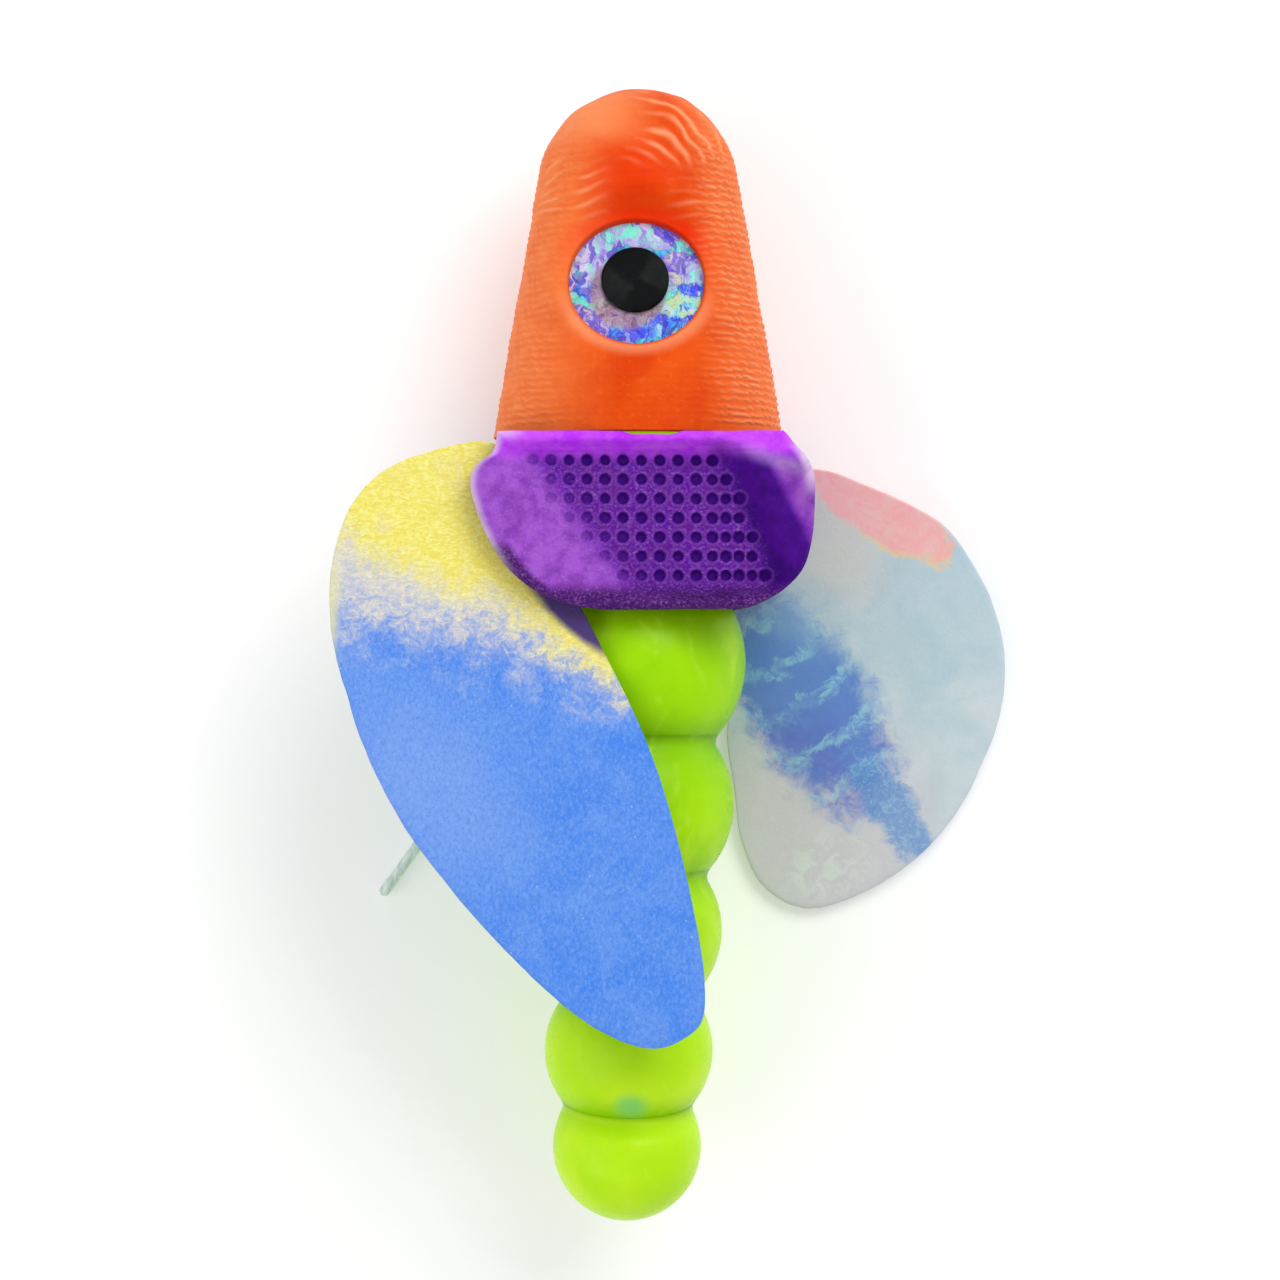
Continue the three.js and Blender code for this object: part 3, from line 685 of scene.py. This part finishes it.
def build_head():
    rows, plain = head_rows()
    columns = 600
    angle = (np.arange(columns) * 2 * math.pi / columns)[None, :]
    radius, along, flat = rows[:, :1], rows[:, 1:2], rows[:, 2:]
    # Angle 0 looks up, and the side direction is +X.
    x = radius * np.sin(angle)
    z = radius * np.cos(angle) * flat
    y = along + 0 * angle

    def rough(pitch, shift=0.0):
        return value_noise(x, y, z, pitch, shift)

    # Ribs run round the head, rope-like on the right and weaker on the left.
    arc = np.where(angle > math.pi, angle - 2 * math.pi, angle) * 9.0
    turned = np.sin(angle)
    side = step(0.3, 0.8, turned) + 0.5 * step(0.35, 0.8, -turned)
    side = side * (1 - 0.45 * step(0.9, 0.99, np.abs(turned)))
    middle = 1 - np.clip(side, 0, 1)
    body = step(HEAD_BASE_Y + 0.3, HEAD_BASE_Y + 0.9, y) * step(29.5, 26.0, y)
    patch = 0.5 + 0.5 * rough(1.7, 6)
    wander = 0.2 * rough(1.5, 8) + 0.07 * rough(0.6, 18)
    row = np.floor(y / RIB_PITCH + wander)
    rib = crests(y / RIB_PITCH + wander)
    scallop = crests(arc / 1.3 + 0.37 * (row % 3) + 2 / math.pi * rough(1.1))
    lift = 0.27 * rib**0.7 * (0.15 + 0.85 * scallop) * side * body * (0.4 + 0.6 * patch)
    # A fine mesh of bumps below the eye, and faint rows beside it.
    bumps = rib * crests(arc / 0.62 + 0.75 / math.pi * rough(1.3, 19))
    lift = lift + 0.065 * bumps * step(17.0, 12.5, y) * (0.4 + 0.6 * middle) * body * patch
    lift = lift + 0.03 * rib * middle * body * patch * step(14, 20, y)
    # Broken wrinkles sweep over the crown.
    sweep = np.hypot(x + 3.6, (y - 18.6) * 0.9) + 0.7 * rough(2.4, 3) + 0.16 * rough(0.8, 13)
    crest = crests(sweep / 0.95 + 1.3 / math.pi * rough(2.8, 12)) ** 1.5
    crown = step(24.8, 26.4, y) * step(-3.4, 0.2, x) * step(0.2, 4.0, z)
    crown = crown * step(8.6, 6.9, np.hypot(x, y - 24.4))
    crown = crown * (0.25 + 0.75 * step(-0.5, 0.3, rough(1.8, 15)))
    lift = lift + 0.05 * crest * crown
    # Fine creases cross the brow on both sides.
    fold = crests((y + 0.02 * x**2 + 0.5 * rough(2.2, 23)) / 0.85)
    brow = step(21.0, 22.6, y) * step(27.4, 25.4, y) * step(1.6, 4.2, np.abs(x)) * step(0.2, 3.0, z)
    brow = brow * (0.2 + 0.8 * step(-0.3, 0.5, rough(1.6, 25)))
    lift = lift + 0.05 * fold**2 * brow
    lift = lift + 0.08 * rough(3.1) + 0.05 * rough(1.1, 9)
    lift[:plain] = 0
    scale = 1 + lift / np.maximum(radius, 0.5)
    x, z = x * scale, z * scale
    y = y + lift * 0.6 * step(25, 31, y)
    points = np.stack([x, y, z + AXIS_Z], axis=-1).reshape(-1, 3)

    # The eye's socket: a soft dish round a hole that the eye sits in.
    local = placed(points, EYE.inverted())
    span = np.hypot(local[:, 0], local[:, 1] * EYE_ASPECT)
    up = (local[:, 2] > -2) & (points[:, 2] > AXIS_Z + 2)
    ease = step(SOCKET_LIP, SOCKET_DISH, span) ** 0.8
    wall = np.clip((span - SOCKET_HOLE) / (SOCKET_LIP - SOCKET_HOLE), 0, 1)
    inside = SOCKET_FLOOR + wall * (SOCKET_RISE - SOCKET_FLOOR)
    eased = SOCKET_RISE * (1 - ease) + local[:, 2] * ease
    eased = np.minimum(eased, np.maximum(local[:, 2], SOCKET_RISE))
    dished = np.where(span < SOCKET_LIP, inside, eased)
    local[:, 2] = np.where(up & (span < SOCKET_DISH), dished, local[:, 2])
    points = placed(local, EYE)

    px, py, pz = points.T
    # The deep mask is painted shade: the middle of the crown, and the eye socket's upper rim where its
    # shadow falls.
    deep = 0.75 * step(5.9, 0.6, np.hypot(px + 0.8, (py - 24.0) * 1.1)) * (pz > AXIS_Z)
    deep = np.maximum(deep, step(7.0, 5.2, span) * step(0.0, 3.2, local[:, 1]) * up)
    # The pale mask is painted sheen: both sides of the head, and the crown near its tip.
    across = turned + 0 * along
    pale = np.maximum(step(0.4, 1.0, across) * 0.75, step(0.05, 0.95, -across)).reshape(-1)
    high = step(26, 28.5, py) * step(2.5, -3.5, px) * step(0, 3, pz - AXIS_Z)
    pale = np.maximum(pale * step(36, 28, py), 0.9 * high)
    # Painted highlights: the lip below the eye socket, the rib crests (glint), the crown wrinkles and the
    # brow creases, plus some crown sheen, make up the ridge mask.
    lip = 0.5 * step(6.4, 5.2, span) * step(4.95, 5.25, span) * step(0.5, -3.5, local[:, 1]) * up
    sides = step(0.4, 0.8, turned) + 0.35 * step(0.4, 0.8, -turned)
    glint = 0.95 * rib * (0.2 + 0.8 * scallop) * body * sides * (0.3 + 0.7 * patch)
    crown_lines = 0.7 * crest**1.5 * crown * step(-2.4, 1.0, x)
    lines = np.maximum.reduce([crown_lines, 0.5 * fold**3 * brow, glint]).reshape(-1)
    ridge = np.maximum.reduce([lines, 0.28 * high, lip])
    faces = band_faces(len(rows), columns)
    count = len(points)
    points = np.vstack([points, [[0, BORE_END_Y, AXIS_Z], [0, DOME_Y + DOME_RADIUS, AXIS_Z]]])
    faces += fan_faces(count, range(columns), flip=True)
    faces += fan_faces(count + 1, range(count - columns, count))
    masks = {"deep": deep, "pale": pale, "ridge": ridge}
    masks = {key: np.concatenate([values, [0, 0]]) for key, values in masks.items()}
    head = make_object("head_skin", points, [f[::-1] for f in faces], ORANGE, masks)
    declare(head, "head", ["head_shell"])


def build_eye():
    edge = [(4.85, 0.1), (4.92, 0.14), (4.92, 0.4)]
    top = [(r, 0.45 + 0.03 * math.cos(r * 1.7)) for r in np.linspace(4.85, 0.3, 60)]
    foil = lathe("eye_flakes", [(0, 0.1), *edge, *top, (0, 0.47)], 160, EYE, material=FOIL)
    local = vertex_places(foil, EYE)
    add_mask(foil.data, "halo", 0.85 * step(3.05, 2.35, np.hypot(local[:, 0] + 0.7, local[:, 1] + 0.75)))
    declare(foil, "head", ["eye_foil"])
    profile = [(0, 0.5), (2.38, 0.5), (2.43, 0.54), (2.43, 0.72), (2.38, 0.78)]
    profile += [(r, 0.8) for r in (2.2, 1.5, 0.8, 0)]
    pupil = lathe("eye_centre", profile, 96, EYE @ Matrix.Translation((-0.1, 0.2, 0)), material=BLACK)
    declare(pupil, "head", ["eye_pupil"])
    profile = [(0, 0.84), (4.85, 0.84), (4.95, 0.88)]
    profile += [(4.95 * s, 0.9 + 0.77 * (1 - s * s)) for s in np.linspace(0.97, 0.04, 30)]
    lens = lathe("eye_dome", [*profile, (0, 1.67)], 160, EYE, material=CLEAR)
    declare(lens, "head", ["eye_lens"])


# ---- Tail ----
TAIL = Matrix.Translation((0, FIRST_BALL_Y, 0)) @ Matrix.Rotation(TAIL_LEAN, 4, "Z")
BEAD_Y = [0, *-np.cumsum(BEAD_PITCH)]
CUP_GAP, TONGUE_RADIUS, TONGUE_HALF, SLOT_HALF = 0.02, 1.2, 0.8, 1.0
PIN_EYE_RADIUS, PIN_RADIUS, SLOT_END_RADIUS = 0.62, 0.58, 1.44
CIRCLE = np.arange(24) * math.pi / 12


def bead_profile(radius, ball, pitch, fillet):
    """(radius, height) from the back pole, over the outside, round a soft neck and into the cup."""
    a, b = radius + fillet, ball + fillet
    fz = (a * a - b * b + pitch * pitch) / (2 * pitch)
    fr = math.sqrt(a * a - fz * fz)
    start = math.atan2(fr, fz)
    points = [(0, -radius)]
    for t in np.linspace(math.pi, start, 84)[1:]:
        points.append((radius * math.sin(t), radius * math.cos(t)))
    near = math.atan2(-fr, -fz)
    far = math.atan2(-fr, pitch - fz)
    for t in np.linspace(near, far, 16)[1:]:
        points.append((fr + fillet * math.sin(t), fz + fillet * math.cos(t)))
    last = math.atan2(fr, fz - pitch)
    for t in np.linspace(last, math.pi, 30)[1:-1]:
        points.append((ball * math.sin(t), pitch + ball * math.cos(t)))
    points.append((0, pitch - ball))
    return points


def tongue_height(k):
    return AXIS_Z + (1.2 if k % 2 else -1.2)


def build_tail():
    upright = Matrix.Rotation(math.radians(-90), 4, "X")
    for k in range(1, len(BEAD_RADII)):
        place = TAIL @ Matrix.Translation((0, BEAD_Y[k], AXIS_Z)) @ upright
        fillet = 0.9 if k > 1 else 0.3
        profile = bead_profile(BEAD_RADII[k], BEAD_RADII[k - 1] + CUP_GAP, BEAD_PITCH[k - 1], fillet)
        bead = lathe(f"bead_skin_{k}", profile, 144, place, material=LIME)
        if k == 5:
            # The last cup sits a little low, so its mouth is turned about the ball that it holds.
            inner = TAIL @ Matrix.Translation((0, BEAD_Y[k - 1], AXIS_Z))
            spots = vertex_places(bead, inner)
            lean = np.radians(9) * step(-6.2, -3.6, spots[:, 1])
            spots[:, 1], spots[:, 2] = (
                spots[:, 1] * np.cos(lean) - spots[:, 2] * np.sin(lean),
                spots[:, 1] * np.sin(lean) + spots[:, 2] * np.cos(lean),
            )
            bead.data.vertices.foreach_set("co", (placed(spots, inner) * MM).reshape(-1))
        # The tongue reaches forward into the bead before, and its eye runs on that bead's pin.
        tongue_z = tongue_height(k)
        eye_y = BEAD_Y[k - 1]
        end = eye_y - BEAD_RADII[k - 1] - 1.2
        turn = math.acos(1 / TONGUE_RADIUS)
        tip = arc_points(TONGUE_RADIUS, eye_y, np.linspace(-turn, math.pi + turn, 24))
        tongue = [(-1, end), (1, end), *tip]
        cut(bead, prism("tongue", tongue, tongue_z - TONGUE_HALF, tongue_z + TONGUE_HALF, TAIL), "UNION")
        hole = arc_points(PIN_EYE_RADIUS, eye_y, CIRCLE)
        cut(bead, prism("pin_eye", hole, tongue_z - 1, tongue_z + 1, TAIL))
        if k + 1 < len(BEAD_RADII):
            slot_z = tongue_height(k + 1)
            reach = BEAD_RADII[k] + 1
            far = reach * math.sin(math.radians(15)) + 1.3
            y = BEAD_Y[k]
            back = arc_points(SLOT_END_RADIUS, y, np.linspace(0, math.pi, 16))
            fan = [(-far, y - reach), (far, y - reach), *back]
            cut(bead, prism("slot", fan, slot_z - SLOT_HALF, slot_z + SLOT_HALF, TAIL))
            cut(bead, prism("pin_hole", arc_points(PIN_RADIUS, y, CIRCLE), 0, AXIS_Z + 4.3, TAIL))
        finish_edges(bead)
        # The neck mask is painted shade: each bead darkens towards its joints, except ahead of the first
        # bead and behind the last.
        ahead = (vertex_places(bead, TAIL)[:, 1] - BEAD_Y[k]) / BEAD_RADII[k]
        back = step(0.4, 0.82, -ahead) * (k != 5)
        add_mask(bead.data, "neck", np.maximum(back, step(0.3, 0.75, ahead) * (k != 1)))
        declare(bead, f"tail_{k}", [f"tail_bead_{k}"])


# ---- Collar ----
COLLAR_LEFT = [
    (-9.9, 5.72), (-9.95, 5.3), (-10.3, 4.5), (-11.4, 3.6), (-11.8, 2.5), (-11.35, 0.4),
    (-10.3, -2.0), (-8.9, -3.9), (-6.9, -5.4), (-4.6, -6.2), (-2.6, -6.55),
]
COLLAR_RIGHT = [
    (10.2, 5.72), (10.9, 5.1), (11.9, 4.1), (12.4, 2.9), (12.45, 1.2),
    (12.25, -1.6), (11.6, -3.7), (10.2, -5.2), (8.5, -6.1), (7.2, -6.55),
]
SHOULDER_RADIUS = 0.7


def panel_left(y):
    return -3.95 - 0.74 * y


def panel_right(y):
    return 6.75 - 0.4 * y


def collar_floor(x, y):
    """Height of the collar's top without its dimples."""
    across = step(-5.0, 0.4, x - panel_left(y)) * step(3.3, 0.1, x - panel_right(y))
    along = step(5.6, 4.15, y) * step(-6.1, -4.7, y)
    depth = 1.35 + 0.95 * np.clip((x + 5) / 12, 0, 1)
    ear = 0.5 * step(6.5, 10.5, x) * step(1, 4.6, y)
    return 20.75 + ear - depth * across * along


def dimple_centres():
    """Rows of dimples, closer together where the panel turns up at its two sides."""
    places = [-1.05]
    while places[-1] < 9:
        x = places[-1]
        places.append(x + 1.3 - 0.38 * float(step(2.6, 6.0, x)))
    while places[0] > -8:
        places.insert(0, places[0] - 1.27)
    centres = []
    for row in range(7):
        y = 4.02 - 1.36 * row
        for x in places:
            if panel_left(y) - 1.25 < x < panel_right(y) + 0.95:
                centres.append((x, y))
    return centres


def spaced(low, high, inner):
    """Even steps with finer ones towards both ends."""
    ends = 0.85 * (1 - np.cos(np.linspace(0, math.pi / 2, 10, endpoint=False)))
    return np.concatenate([low + ends, np.linspace(low + 0.85, high - 0.85, inner), (high - ends)[::-1]])


def build_collar():
    left = catmull(COLLAR_LEFT, False)
    right = catmull(COLLAR_RIGHT, False)
    ys = spaced(-6.55, 5.72, 150)
    lx = np.interp(ys, left[::-1, 1], left[::-1, 0])
    rx = np.interp(ys, right[::-1, 1], right[::-1, 0])
    share = (spaced(-12, 12, 280) + 12) / 24
    x = lx[:, None] + (rx - lx)[:, None] * share[None, :]
    y = ys[:, None] + 0 * x
    # The front edge reaches to the head except in a short gap, and its line wanders a little.
    front = 0.3 - 0.24 * step(2.3, 1.2, np.abs(x - 1.0)) + 0.02 * line_noise(x, 1.1)
    y = y + step(4.7, 5.72, y) * front
    back = 0.06 * line_noise(x, 1.7, 4) - 0.1 * step(3, 9, np.abs(x - 2))
    y = y + step(-5.4, -6.55, y) * back
    z = collar_floor(x, y) + 0.05 * flat_noise(x, y, 1.9) + 0.02 * flat_noise(x, y, 0.5, 5)
    crease = step(0.28, 0.0, np.abs(y - 5.0 - 0.05 * line_noise(x, 3)))
    groove = step(0.22, 0.0, np.abs(y - 4.55 - 0.06 * line_noise(x, 2.6, 7)))
    z = z - (0.1 * crease + 0.07 * groove) * step(-9, -6, x) * step(9.5, 7, x)
    # The pit mask is painted shade in the dimples, and the ring mask is a painted highlight on their rims.
    pit = np.zeros_like(x)
    ring = np.zeros_like(x)
    for k, (cx, cy) in enumerate(dimple_centres()):
        wide = 0.46 + 0.03 * math.sin(k * 2.7)
        inset = cx - panel_left(cy)
        deep = 0.34 * (0.4 + 0.6 * float(step(-0.5, 3.2, inset)))
        d = np.hypot(x - cx, y - cy)
        shown = 0.3 + 0.7 * float(step(-1.5, 2.6, inset))
        pit = np.maximum(pit, step(wide, wide * 0.7, d) * shown)
        ring = np.maximum(ring, step(wide - 0.06, wide + 0.05, d) * step(wide + 0.22, wide + 0.09, d))
        z = z - deep * step(wide, wide * 0.5, d)
        z = z + 0.03 * step(wide + 0.25, wide, d) * step(wide * 0.7, wide, d)
    # A rounded shoulder down to the walls.
    edge_x = np.minimum(x - lx[:, None], rx[:, None] - x)
    edge_y = np.minimum(ys - ys[0], ys[-1] - ys)[:, None] + 0 * x
    near = np.minimum(edge_x, edge_y)
    inside = np.clip(near / SHOULDER_RADIUS, 0, 1)
    z = z - SHOULDER_RADIUS * (1 - np.sqrt(np.clip(1 - (1 - inside) ** 2, 0, 1)))
    rows, columns = x.shape
    top = np.stack([x, y, z], axis=-1).reshape(-1, 3)
    loop = (
        [(0, j) for j in range(columns)]
        + [(i, columns - 1) for i in range(1, rows)]
        + [(rows - 1, j) for j in range(columns - 2, -1, -1)]
        + [(i, 0) for i in range(rows - 2, 0, -1)]
    )
    loop = [i * columns + j for i, j in loop]
    rim = top[loop]
    levels = []
    for level in np.linspace(0, 1, 40)[1:]:
        fall = rim[:, 2] + (0.6 - rim[:, 2]) * level
        # The walls belly out a little below the rim and draw in at the foot.
        swell = 1 + 0.012 * math.sin(math.pi * min(level * 1.3, 1)) - 0.02 * float(step(0.75, 1.0, level))
        lengthwise = np.where(rim[:, 1] > 4.6, np.minimum(rim[:, 1], 6.04), rim[:, 1] * (1 - 0.015 * level))
        wall = np.stack([rim[:, 0] * swell, lengthwise, fall], axis=-1)
        wobble = 0.07 * value_noise(wall[:, 0], wall[:, 1], wall[:, 2], 2.6, 2) * min(level * 4, 1)
        away = wall[:, :2] / np.linalg.norm(wall[:, :2], axis=1, keepdims=True)
        wall[:, :2] += away * wobble[:, None] * np.abs(away[:, :1])
        levels.append(wall)
    foot = levels[-1]
    for inset, drop in ((0.985, 0.3), (0.96, 0.08), (0.94, 0.0)):
        levels.append(np.c_[foot[:, :2] * inset, np.full(len(foot), drop)])
    n = len(loop)
    points = np.vstack([top, *levels])
    faces = band_faces(rows, columns, wrap=False)
    start = len(top)
    faces += [(loop[k], start + k, start + (k + 1) % n, loop[(k + 1) % n]) for k in range(n)]
    faces += [f[::-1] for f in band_faces(len(levels), n, True, start)]
    faces.append([start + (len(levels) - 1) * n + k for k in range(n)][::-1])

    px, py = points[:, 0], points[:, 1]
    is_top = np.arange(len(points)) < start

    def grown(values):
        return np.concatenate([values.reshape(-1), np.zeros(len(points) - start)])

    side = px - panel_right(py)
    lean = px - panel_left(py)
    fold = side + 0.12 * py
    margin = grown(near)
    # Painted shade along the left edge towards the back.
    back_left = step(1.7, 0.9, margin) * step(-1.2, -2.6, py) * (px < 0)
    flash_and_highlight = step(0.7, 0.05, margin) * step(-7.5, -9.5, px) * step(-5.0, -1.0, py) * 0.75
    # Painted highlight along the diagonal fold at the top right.
    fold_highlight = step(0.9, 0.0, np.abs((py - 5.0) + 0.34 * (px - 6.5))) * step(5.5, 9.5, px)
    corner = step(2.0, 0.4, np.hypot(px - 12.0, (py - 3.8) * 0.7)) * step(1.1, 0.2, margin)
    # Where the pale speckles go: the panel and the left of the top, fewer near the front, none in the
    # dimples.
    speckled_area = (0.25 + 0.75 * step(4.8, 2.8, py)) * step(2.0, 0, side) * (1 - 0.9 * grown(pit))
    masks = {
        # Painted shade: the panel mask darkens the recessed panel.
        "panel": step(-1.6, 1.0, lean) * step(1.6, -0.2, side) * step(4.9, 3.9, py) * step(-6.2, -5.2, py),
        # Painted light: the slope mask marks the lit left slope into the panel.
        "slope": step(1.2, -1.4, lean) * step(5.4, 4.0, py) * step(-8.8, -6.2, py + 0.3 * px),
        # Painted light: the rim mask brightens the top band along the front.
        "rim": step(3.7, 4.9, py),
        "shade": step(-0.5, 1.3, side) * step(5.3, 4.0, fold) * step(5.6, 3.6, py + 0.26 * (px - 7)) * 0.95,
        # Painted highlight: the ridge mask lightens the right-hand ridge.
        "ridge": step(4.0, 5.3, fold) * step(4.8, 3.4, py) * step(-4.5, -1.5, py) * 0.85,
        "flash_and_highlight": np.maximum.reduce([flash_and_highlight, 0.22 * fold_highlight, 0.85 * corner]),
        "speckled_area": speckled_area,
    }
    masks = {key: values * is_top for key, values in masks.items()}
    # Painted shade in the dimples.
    masks["pit"] = grown(pit)
    # Painted highlight on the dimples' rims.
    masks["ring"] = grown(ring * (1 - pit))
    # Painted shade: the foot mask darkens the back band, the lower left edge and the side walls.
    masks["foot"] = np.where(is_top, np.maximum(step(-4.5, -5.6, py), back_left), 0.8)
    collar = make_object("collar_skin", points, faces, PURPLE, masks)

    narrowed = Matrix.Diagonal((1, 9 / 10.2, 1, 1))
    mouth_place = Matrix.Translation((0, FIRST_BALL_Y - BEAD_PITCH[0], AXIS_Z)) @ narrowed
    cut(collar, egg("mouth", 10.2, 8.5, 40, 80, mouth_place))
    cut(collar, egg("ball", 7.35, 7.35, 32, 64, Matrix.Translation((0, FIRST_BALL_Y, AXIS_Z))))
    ring_points = arc_points(5.15, 0, np.arange(64) * math.pi / 32)
    spigot = Matrix.Translation((0, 9, AXIS_Z)) @ Matrix.Rotation(math.radians(90), 4, "X")
    cut(collar, prism("spigot", ring_points, 0, 9, spigot))
    cut(collar, prism("left_slot", [(3, 8), (-6, 8), (-6, -9), (8.2, -9)], -0.55, 0.55, WING_LEFT))
    cut(collar, prism("right_slot", [(-4.8, 8), (-4.8, -9), (6, -9), (6, 8)], -0.55, 0.55, WING_RIGHT))
    finish_edges(collar, 50)
    declare(collar, "thorax", ["collar"])


# ---- Wings ----
def build_wing(hand, outline, place, material, seed, curl):
    """A thin film with a hole at its pivot, a slightly wandering cut edge, gentle waves and a lifted tip."""
    edge = even(catmull(outline, True), 420, True)
    reach = np.linalg.norm(edge, axis=1)
    away = edge / reach[:, None]
    wander = 0.05 * flat_noise(*edge.T, 2.2, seed) + 0.025 * flat_noise(*edge.T, 0.7, seed + 1)
    reach = reach + wander
    shares = np.concatenate([np.linspace(0, 0.97, 64), [0.985, 0.995, 1.0]])
    hole, half = 1.25, 0.2
    flat = away * (hole + (reach - hole) * shares[:, None])[..., None]
    x, y = flat[..., 0], flat[..., 1]
    ripple = 0.1 * flat_noise(x, y, 6.5, seed + 2) + 0.03 * flat_noise(x, y, 1.8, seed + 4)
    middle = (ripple + curl * step(-28, -38, y)) * step(6.5, 13, np.linalg.norm(flat, axis=-1))
    thick = np.array([half] * 64 + [half * 0.94, half * 0.75, half * 0.3])[:, None]
    upper = np.stack([x, y, middle + thick], axis=-1)
    lower = np.stack([x, y, middle - thick], axis=-1)[::-1]
    points = placed(np.concatenate([upper, lower]).reshape(-1, 3), place)
    count = len(edge)
    rows = 2 * len(shares)
    faces = band_faces(rows, count)
    j = np.arange(count)
    last = (rows - 1) * count
    faces += np.stack([last + j, last + (j + 1) % count, (j + 1) % count, j], axis=-1).tolist()
    flip = np.sum(edge[:, 0] * np.roll(edge[:, 1], -1) - np.roll(edge[:, 0], -1) * edge[:, 1]) > 0
    if flip:
        faces = [f[::-1] for f in faces]
    wing = make_object(f"wing_film_{hand}", points, [f[::-1] for f in faces], material)
    finish_edges(wing, 60)
    declare(wing, f"wing_{hand}", [f"wing_blade_{hand}"])


# ---- Leg ----
def build_leg():
    bends = [
        (-9.2, -1.2, 5.2), (-10.4, -5.2, 4.1), (-12, -14, 2.3),
        (-13.4, -19.3, 1.8), (-16.6, -24, 1.2), (-19.7, -28.3, 0.6),
    ]
    path = even(catmull(bends, False), 160, False)
    run = np.concatenate([[0], np.cumsum(np.linalg.norm(np.diff(path, axis=0), axis=1))])
    left = run[-1] - run
    radius = 0.43 * np.sqrt(np.clip(1 - np.clip(1 - left / 0.4, 0, 1) ** 2, 0.02, 1))
    radius = radius * (0.94 + 0.06 * np.exp(-(((left - 0.8) / 0.9) ** 2)))
    radius = radius * (1 + 0.03 * line_noise(run, 1.3))
    heading = np.gradient(path, axis=0)
    heading /= np.linalg.norm(heading, axis=1, keepdims=True)
    across = np.cross(heading, [0, 0, 1.0])
    across /= np.linalg.norm(across, axis=1, keepdims=True)
    over = np.cross(across, heading)
    angles = np.arange(28) * 2 * math.pi / 28
    rings = path[:, None] + radius[:, None, None] * (
        across[:, None] * np.cos(angles)[None, :, None] + over[:, None] * np.sin(angles)[None, :, None]
    )
    points = np.vstack([rings.reshape(-1, 3), path[:1], path[-1:]])
    faces = band_faces(len(path), 28)
    count = len(path) * 28
    faces += fan_faces(count, range(28), flip=True) + fan_faces(count + 1, range(count - 28, count))
    leg = make_object("leg_rod", points, [f[::-1] for f in faces], PEARL)
    declare(leg, "thorax", ["leg"])


build_head()
build_eye()
build_tail()
build_collar()
build_wing("left", LEFT_BLADE, WING_LEFT, FILM_LEFT, seed=11, curl=0.25)
build_wing("right", RIGHT_BLADE, WING_RIGHT, FILM_RIGHT, seed=21, curl=0)
build_leg()
dress("thorax_core", LIME)
dress("neck_ring", LIME)
dress("nose_weight", STEEL)
for node in ("wing_pin_left", "wing_pin_right", *(f"tail_pin_{k}" for k in range(1, 6))):
    dress(node, STEEL)
for node in ("wing_eyelet_left", "wing_eyelet_right"):
    dress(node, BRASS)

# ---- Stage, lights and camera ----
floor_finish = Finish("pale_floor", Roughness=0.8, Emission_Color=(1, 1, 1, 1), Emission_Strength=0.22)
darker, lighter = (0.82, 0.82, 0.82, 1), (0.84, 0.84, 0.84, 1)
floor_finish.set(Base_Color=floor_finish.mix(floor_finish.noise(60, 2), darker, lighter))
FLOOR_HALF, FLOOR_Z = 900, -0.02
corners = [(FLOOR_HALF * i, FLOOR_HALF * j, FLOOR_Z) for i, j in ((-1, -1), (1, -1), (1, 1), (-1, 1))]
floor = make_object("floor", corners, [(0, 1, 2, 3)], floor_finish.material)

world = bpy.data.worlds.new("soft_room")
world.use_nodes = True
background = world.node_tree.nodes["Background"]
background.inputs["Color"].default_value = (1.0, 1.0, 1.0, 1.0)
background.inputs["Strength"].default_value = 0.62
bpy.context.scene.world = world


def area_light(name, place, target, size, power):
    """A white rectangular light, with its place, target and size in metres."""
    data = bpy.data.lights.new(name, "AREA")
    data.shape = "RECTANGLE"
    data.size, data.size_y = size
    data.energy = power
    light = bpy.data.objects.new(name, data)
    light.location = Vector(place)
    light.rotation_euler = (Vector(target) - light.location).to_track_quat("-Z", "Y").to_euler()
    bpy.context.scene.collection.objects.link(light)


area_light("key", (0.14, 0.2, 0.26), (0, 0, 0.01), (0.24, 0.2), 0.64)
area_light("fill", (-0.25, -0.12, 0.22), (0, -0.01, 0.01), (0.3, 0.3), 0.34)

# The camera looks straight down.
CAMERA_PLACE, CAMERA_LENS, CAMERA_FILM = (0.00015, -0.0087, 0.2326), 85, 36
camera_data = bpy.data.cameras.new("camera")
camera_data.lens = CAMERA_LENS
camera_data.sensor_width = CAMERA_FILM
camera_data.clip_start = 0.01
camera = bpy.data.objects.new("camera", camera_data)
camera.location = CAMERA_PLACE
bpy.context.scene.collection.objects.link(camera)
bpy.context.scene.camera = camera
bpy.context.scene.view_settings.view_transform = "Standard"
